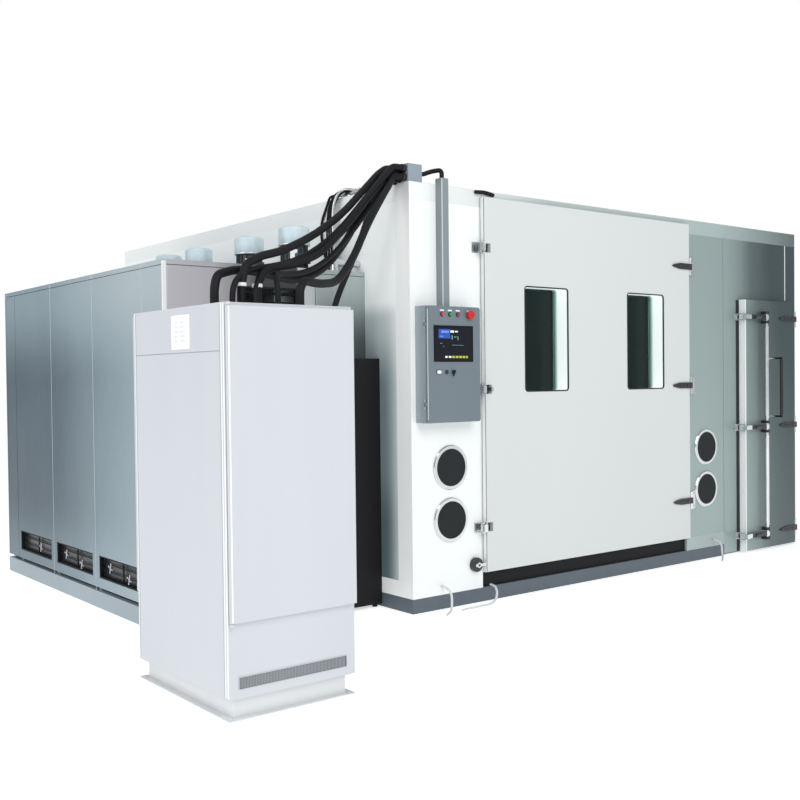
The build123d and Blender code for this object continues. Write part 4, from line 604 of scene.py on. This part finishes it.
def sleeve(x, z, half_x, half_z, y0, y1, corner, wall):
    """A rounded rectangle carried from y0 to y1 and back again one wall further in."""
    turn = np.linspace(0, 2 * math.pi, 48, endpoint=False) + math.pi / 48
    unit = np.stack([np.cos(turn), np.sin(turn)], -1)
    rows = []
    for y, inset in ((y0, 0), (y1, 0), (y1, wall), (y0, wall), (y0, 0)):
        line = np.array([x, z]) + np.sign(unit) * (np.array([half_x, half_z]) - corner) + unit * (corner - inset)
        rows.append(np.stack([line[:, 0], np.full(len(turn), y), line[:, 1]], -1))
    return metres(rows)


shell("window_linings", [sleeve(x, window_z, 222.9, 369.9, -25.5, 105.5, 24.9, 1.5) for x in window_x],
      lining, "main_door")


# Operator's screen: a black glass front with a lit picture of plain blocks, as a temperature
# controller shows: a blue field, white and teal blocks beside it, and a row of yellow keys.
screen = Finish("screen_glass", 0.25).dull(0.15)
screen_x, screen_z = screen.axis(0), screen.axis(2)


def lit(x0, x1, z0, z1):
    """One inside the block, nought outside it, in millimetres from the front corner."""
    (left, _, low), (right, _, high) = metres([(x0, 0, z0), (x1, 0, z1)]).tolist()
    return (screen_x > left) * (screen_x < right) * (screen_z > low) * (screen_z < high)


picture = screen.blend(lit(112, 424, 1646, 1858), (0.006, 0.006, 0.007), (0.008, 0.009, 0.012))
yellow_keys = tuple((left, right, 1659, 1673)
                    for left, right in ((252, 276), (282, 306), (312, 336), (342, 366), (372, 388)))
for block_colour, blocks in (
    ((0.03, 0.07, 0.30), ((138, 236, 1786, 1846),)),
    ((0.10, 0.22, 0.60), ((160, 226, 1822, 1836), (146, 176, 1796, 1802))),
    ((0.60, 0.66, 0.66), ((238, 268, 1824, 1838), (276, 302, 1827, 1836),
                          (192, 212, 1660, 1672), (222, 244, 1660, 1672))),
    ((0.16, 0.30, 0.30), ((248, 256, 1780, 1806), (268, 290, 1794, 1798), (300, 306, 1776, 1800),
                          (150, 168, 1752, 1755), (176, 182, 1732, 1736), (250, 350, 1742, 1744))),
    ((0.34, 0.36, 0.06), yellow_keys),
):
    for one in blocks:
        picture = screen.blend(lit(*one), picture, block_colour)
screen.set(Base_Color=picture, Emission_Color=picture)
screen.shader.inputs["Emission Strength"].default_value = 0.5
shell("screen_front", [plate(100.5, 435.5, -119.4, -118, 1635.5, 1868.5, 4, 0.5)],
      screen, "control_lid")


# Lamps and small fittings of the operator's panel: domed lenses in their bezels, the pale
# cover of a data socket, and small white plates over the buttons.
def lens(name, colour, glow):
    """A deep, slightly lit plastic."""
    cap = Finish(name, 0.15)
    cap.set(Base_Color=cap.blend(cap.noise(150.0), colour, tuple(part * 1.2 for part in colour)))
    cap.shader.inputs["Emission Color"].default_value = (*colour, 1)
    cap.shader.inputs["Emission Strength"].default_value = glow
    return cap


dome = [(0, 0), (12, 0), (12, 1.5), (11, 4), (8, 6), (4, 7.3), (0, 7.6)]
for name, x, cap in (("power_lamp", 170, lens("lens_red", (0.5, 0.02, 0.02), 0.3)),
                     ("alarm_lamp", 306, lens("lens_dark_red", (0.25, 0.03, 0.05), 0.15))):
    shell(name, [turned(dome, (x, -125, 1942), to_front)], cap, "control_lid")
shell("socket_cover", [plate(122, 158, -121, -119, 1557, 1579, 9, 0.8)], white_trim_and_highlight, "control_lid")
shell("legend_plates", [plate(x - 17, x + 17, -116.2, -115, 1963, 1972, 1, 0.3) for x in (170, 238, 306, 402)],
      white_trim_and_highlight, "control_lid")


# Port plugs: the foam plugs that close the cable ports each have a dark rubber face with a
# low round rim pressed into it, glued on just in front of the foam.
face_rubber = moulded("webbing", (0.012, 0.0145, 0.0155), 0.6, 60.0, 0.12).dull(0.2)
face_profile = [(0, 0.8), (112, 0.8), (116, 2.4), (120, 2.4), (123, 1.0), (123.4, -1.5), (0, -1.5)]
for place, x in (("left", 328), ("right", 3138)):
    for level, z in (("low", 585), ("high", 935)):
        shell(f"plug_rim_{place}_{level}", [turned(face_profile, (x, -8, z), to_front, 64)],
              face_rubber, f"plug_{place}_{level}")


# Fan motors: a small white plate bent round each motor's body, a bright rim round the foot of
# every cowl, and a ringed air grille pressed into its top.
plate_metal = brushed("plate_metal", (0.75, 0.76, 0.77), (0.6, 0.61, 0.62), 0.3, 0.6, (1, 1, 0.1))
dark_slots = moulded("dark_slots", (0.01, 0.011, 0.012), 0.6, 200.0, 0.2)
fan_x, fan_places = -340, (840, 1450, 2240, 2775)


def wrapped(x, y, radius, rise, a0, a1, z0, z1):
    """A thin plate bent round an upright cylinder: angles from a0 to a1 at two radii, closed as
    one ring per height with both ends pinched shut."""
    turn = np.radians(np.concatenate([np.linspace(a0, a1, 13), np.linspace(a1, a0, 13)]))
    reach = np.concatenate([np.full(13, radius + rise), np.full(13, radius)])
    rows = []
    for z, spread in ((z0, 0), (z0, 1), (z1, 1), (z1, 0)):
        far = reach if spread else np.full(26, radius + rise / 2)
        rows.append(np.stack([x + far * np.cos(turn), y + far * np.sin(turn), np.full(26, z)], -1))
    return metres(rows)


rim_profile = [(104, 0), (109.5, 0), (110, 3), (110, 9), (108, 12), (104, 12), (104, 0)]
shell("motor_plates", [wrapped(fan_x, y, 97, 2.5, 222, 250, 2352, 2412) for y in fan_places],
      white_trim_and_highlight, "chamber")
shell("cowl_rims", [turned(rim_profile, (fan_x, y, 2447), to_top, 48) for y in fan_places],
      plate_metal, "chamber")
shell("cowl_grilles", [turned([(r, 0), (r, 1.2), (r + 5, 1.2), (r + 5, 0), (r, 0)], (fan_x, y, 2573.9), to_top, 40)
                       for y in fan_places for r in (14, 30, 46, 62, 76)], dark_slots, "chamber")


# Electrical cabinet: dark seams round its side sheet and under its top strip, pale rolled
# edges along the posts, and a paper card with rows of small grey marks.
cabinet_side = -1965
seam = coated("cabinet_seam", (0.33, 0.35, 0.40), (0.28, 0.30, 0.35), 0.5)
shell("cabinet_seams", [side_plate(cabinet_side, y0, y1, z0, z1, 0.5) for y0, y1, z0, z1 in (
    (-1090, -200, 1658, 1662), (-1092, -1089, 108, 1868), (-203, -200, 108, 1868))],
      seam, "chamber")
shell("cabinet_edge_beads", [side_plate(cabinet_side, y0, y1, 106, 1872, 0.8, corner, 0.4)
                             for y0, y1, corner in ((-1131, -1118, 4), (-1108, -1098, 4), (-194, -187, 3))],
      white_trim_and_highlight, "chamber")
paper = Finish("paper_label", 0.7)
paper_y, paper_z = paper.axis(1), paper.axis(2)
rows = paper.node("ShaderNodeTexWave", {"bands_direction": "Z"}, {"Vector": paper.place(), "Scale": 14.0})
columns = paper.noise(90.0, (1, 1, 0.02), 2.0)
field = (paper_y > -2.40) * (paper_y < -2.29) * (paper_z > 1.70) * (paper_z < 1.81)
paper.set(Base_Color=paper.blend(
    (rows > 0.55) * (columns > 0.45) * field * 0.5, (0.90, 0.91, 0.91), (0.55, 0.56, 0.57)))
shell("cabinet_label", [side_plate(cabinet_side, -800, -610, 1678, 1840, 0.8)], paper, "chamber")

# Air grille low in the cabinet's front: a pressed frame over the slots, a dark mesh behind it
# and fine upright slats. Above it, a pale rolled edge runs up the front door.
slat_grey = coated("slat_grey", (0.34, 0.355, 0.375), (0.24, 0.25, 0.27), 0.45)
grille_left, grille_right, grille_foot, grille_top, strip = -1917, -1325, 140, 198, 4
slats = [plate(x, x + 5.2, -1134.4, -1133, grille_foot + 6, grille_top - 6, 0.8, 0.3)
         for x in np.arange(grille_left + 8, grille_right - 11, 8.0)]
frame_bars = [plate(grille_left, grille_right, -1135, -1132, z, z + strip, 1, 0.4)
              for z in (grille_foot, grille_top - strip)]
frame_bars += [plate(x, x + strip, -1135, -1132, grille_foot + strip, grille_top - strip, 1, 0.4)
               for x in (grille_left, grille_right - strip)]
mesh_plate = plate(grille_left + strip, grille_right - strip, -1133, -1132,
                   grille_foot + strip, grille_top - strip, 1, 0.2)
shell("cabinet_grille", slats, slat_grey, "chamber")
shell("cabinet_grille_frame", frame_bars, coated("frame_grey", (0.55, 0.565, 0.59), (0.45, 0.46, 0.48), 0.4),
      "chamber")
shell("cabinet_grille_back", [mesh_plate], coated("mesh_dark", (0.10, 0.105, 0.11), (0.06, 0.063, 0.067), 0.6),
      "chamber")
shell("cabinet_front_bead", [plate(-1961, -1953, -1161, -1160, 452, 1856, 3, 0.4)],
      white_trim_and_highlight, "cabinet_door_a")


# Machine room trims: folded bright edges where the wall sheets meet, a white corner post
# whose white is a painted highlight on the rounded corner, round rivets along the top, and dark sheets behind the
# air inlets, painted shade for the dark inside.
bright_fold_and_highlight = coated("bright_fold_and_highlight", (0.66, 0.71, 0.73), (0.46, 0.52, 0.55), 0.35)
room_side, room_foot, room_head = -1480, 116, 2246
shell("room_joint_folds",
      [side_plate(room_side, y - 2.5, y + 2.5, room_foot, room_head, 1.2, 1, 0.4) for y in (800, 1597, 2393)] +
      [side_plate(room_side, y - 5, y + 5, room_head - 10, room_head, 2.5, 5, 0.8)
       for y in (3380, 2990, 2393, 1995, 1597, 1198, 800)], bright_fold_and_highlight, "chamber")
# Painted highlight: the corner post is coated white for the light on the rounded corner.
shell("room_corner_post", [plate(room_side, room_side + 18, 487.5, 490, room_foot, room_head, 2, 0.6),
                           side_plate(room_side, 490, 512, room_foot, room_head, 1.4, 2, 0.5)],
      coated("corner_highlight_white", (0.86, 0.86, 0.87), (0.74, 0.75, 0.76), 0.35), "chamber")
# Painted shade: black sheets behind the inlets for the dark inside the machine room.
shell("room_vent_shade_backs", [side_plate(-1438, y - 340, y + 340, 210, 354, 0.8, 2, 0.3) for y in (1198, 1995, 2791)],
      bolt_black_and_shade, "chamber")

# Service valves behind the air inlets: small cross handles of zinc-plated steel, each with
# four knobbed spokes on a short stepped stem.
stem = [(0, 0), (7, 0), (7, 9), (11, 9), (11, 14), (0, 15)]
spoke = [(0, 0), (4.5, 2), (4, 24), (6, 29), (5, 34), (0, 35)]
handles = []
for y, z in ((1030, 268), (1330, 300), (1830, 262), (2120, 296), (2650, 280)):
    handles.append(turned(stem, (-1476, y, z), to_left, 16))
    for angle in (0.3, 1.87, 3.44, 5.01):
        handles.append(turned(spoke, (-1488, y, z), (0, math.cos(angle), math.sin(angle)), 10))
shell("service_valves", handles, bolt_zinc, "chamber")


# Light leads: thinner cables beside the four heavy ones. Three run from the box on the roof
# corner to glands on the electrical cabinet, one down to the service cabinet. Ends are fixed.
def lead(route, radius, aside=(-0.45, 0.89, 0.0)):
    """A tube along a uniform cubic B-spline whose end points count three times. The ring at
    each station stands on the cross products of the tangent with one sideways direction."""
    stations, faces = 8, 14
    knots = np.array([route[0]] * 2 + list(route) + [route[-1]] * 2, float)
    t = np.linspace(0, 1, stations + 1)[None, :-1, None]
    a, b, c, d = (knots[k:len(knots) - 3 + k, None] for k in range(4))
    line = ((1 - t) ** 3 * a + (3 * t**3 - 6 * t**2 + 4) * b + (-3 * t**3 + 3 * t**2 + 3 * t + 1) * c + t**3 * d) / 6
    line = np.concatenate([line.reshape(-1, 3), knots[-1:]])
    tangent = np.gradient(line, axis=0)
    tangent /= np.linalg.norm(tangent, axis=1, keepdims=True) + 1e-9
    first = np.cross(tangent, aside)
    first /= np.linalg.norm(first, axis=1, keepdims=True)
    second = np.cross(tangent, first)
    turn = np.linspace(0, 2 * math.pi, faces, endpoint=False)[None, :, None]
    ring = line[:, None] + radius * (np.cos(turn) * first[:, None] + np.sin(turn) * second[:, None])
    return metres(np.concatenate([np.repeat(line[:1, None], faces, 1), ring, np.repeat(line[-1:, None], faces, 1)]))


lead_black = moulded("lead_black", (0.004, 0.004, 0.005), 0.6, 300.0, 0.1).dull(0.25)
cabinet_top, service_top = 1876, 1665
lead_ends = ((-1675, -690), (-1432, -720), (-1560, -720))
service_end = (-345, 412)
shell("light_leads", [
    lead([(0, 78, 2860), (-70, 78, 2860), (-160, 60, 2822), (-420, -75, 2625), (-700, -235, 2405),
          (-1000, -380, 2225), (-1290, -505, 2130), (-1540, -630, 2095),
          *((*lead_ends[0], z) for z in (2020, 1900, cabinet_top))], 15),
    lead([(0, 92, 2814), (-70, 92, 2814), (-200, 15, 2715), (-430, -125, 2545), (-700, -270, 2320),
          (-960, -400, 2150), (-1220, -520, 2080), (-1400, -640, 2080),
          *((*lead_ends[1], z) for z in (2010, 1900, cabinet_top))], 15),
    lead([(0, 64, 2870), (-60, 64, 2870), (-150, 40, 2800), (-300, -20, 2690), (-520, -150, 2500),
          (-800, -300, 2300), (-1100, -430, 2170), (-1330, -545, 2115), (-1470, -625, 2060), (-1560, -700, 1990),
          *((*lead_ends[2], z) for z in (1900, cabinet_top))], 11),
    lead([(0, 135, 2812), (-50, 135, 2812), (-140, 150, 2740), (-190, 190, 2580), (-215, 250, 2400),
          (-270, 330, 2200), (-330, 400, 1990), *((*service_end, z) for z in (1800, service_top))], 20),
], lead_black, "chamber")
gland_profile = [(0, 0), (23, 0), (23, 12), (19, 16), (17, 30), (0, 30)]
boot_profile = [(0, 0), (29, 0), (29, 14), (23, 34), (0, 34)]
shell("lead_glands", [turned(gland_profile, (*end, cabinet_top), to_top, 6) for end in lead_ends] +
      [turned(boot_profile, (*service_end, service_top), to_top, 24)], bolt_black_and_shade, "chamber")


# Sensor leads: four thin black leads and a braided steel one that drop together from the
# fitting on the roof's edge to the machine room's top.
def beside(k):
    """The route of the sensor lead with number k, each a little behind the one before."""
    return [(20, 640 + 24 * k, 2836), (-14 - 4 * k, 700 + 22 * k, 2846), (-44, 790 + 18 * k, 2770),
            (-46, 800 + 26 * k, 2600), (-40, 780 + 30 * k, 2430), (-60, 800 + 36 * k, 2300),
            (-60, 806 + 36 * k, 2256)]


shell("sensor_leads", [lead(beside(k), 7, (1, 0, 0)) for k in range(4)], lead_black, "chamber")
shell("sensor_braid", [
    lead([(24, 620, 2832), (-20, 700, 2858), (-52, 770, 2800), (-56, 790, 2640), (-50, 770, 2450), (-70, 770, 2310),
          (-70, 772, 2256)], 9, (1, 0, 0))], bolt_zinc, "chamber")

# Cable ties: white nylon bands drawn round two of the heavy cables just above the cabinet.
tie_profile = [(0, -9), (25.5, -9), (26.5, -6), (26.5, 6), (25.5, 9), (0, 9)]
shell("cable_ties", [turned(tie_profile, (x, y, 2005), to_top, 20) for x, y in ((-1610, -665), (-1510, -650))],
      white_trim_and_highlight, "chamber")

# Trunking trims: a pale strip down the trunking's left corner, a painted highlight, and a dark
# strip in its joint to the column, a painted shadow.
shell("trunk_edge_highlight", [plate(224, 233, -60.8, -60, 1998, 2832, 3, 0.4)], bright_fold_and_highlight, "chamber")
shell("trunk_shadow_line", [plate(284.5, 293, -1.5, 0, 2000, 2684, 1, 0.4)], black_seal_and_shadow, "chamber")

# Control box trim: a bright strip down the left of the lid, a painted highlight, which turns
# with the lid on its hinges.
shell("lid_edge_highlight", [plate(45, 51, -116, -115, 1262, 1973, 3, 0.5)], bright_fold_and_highlight, "control_lid")
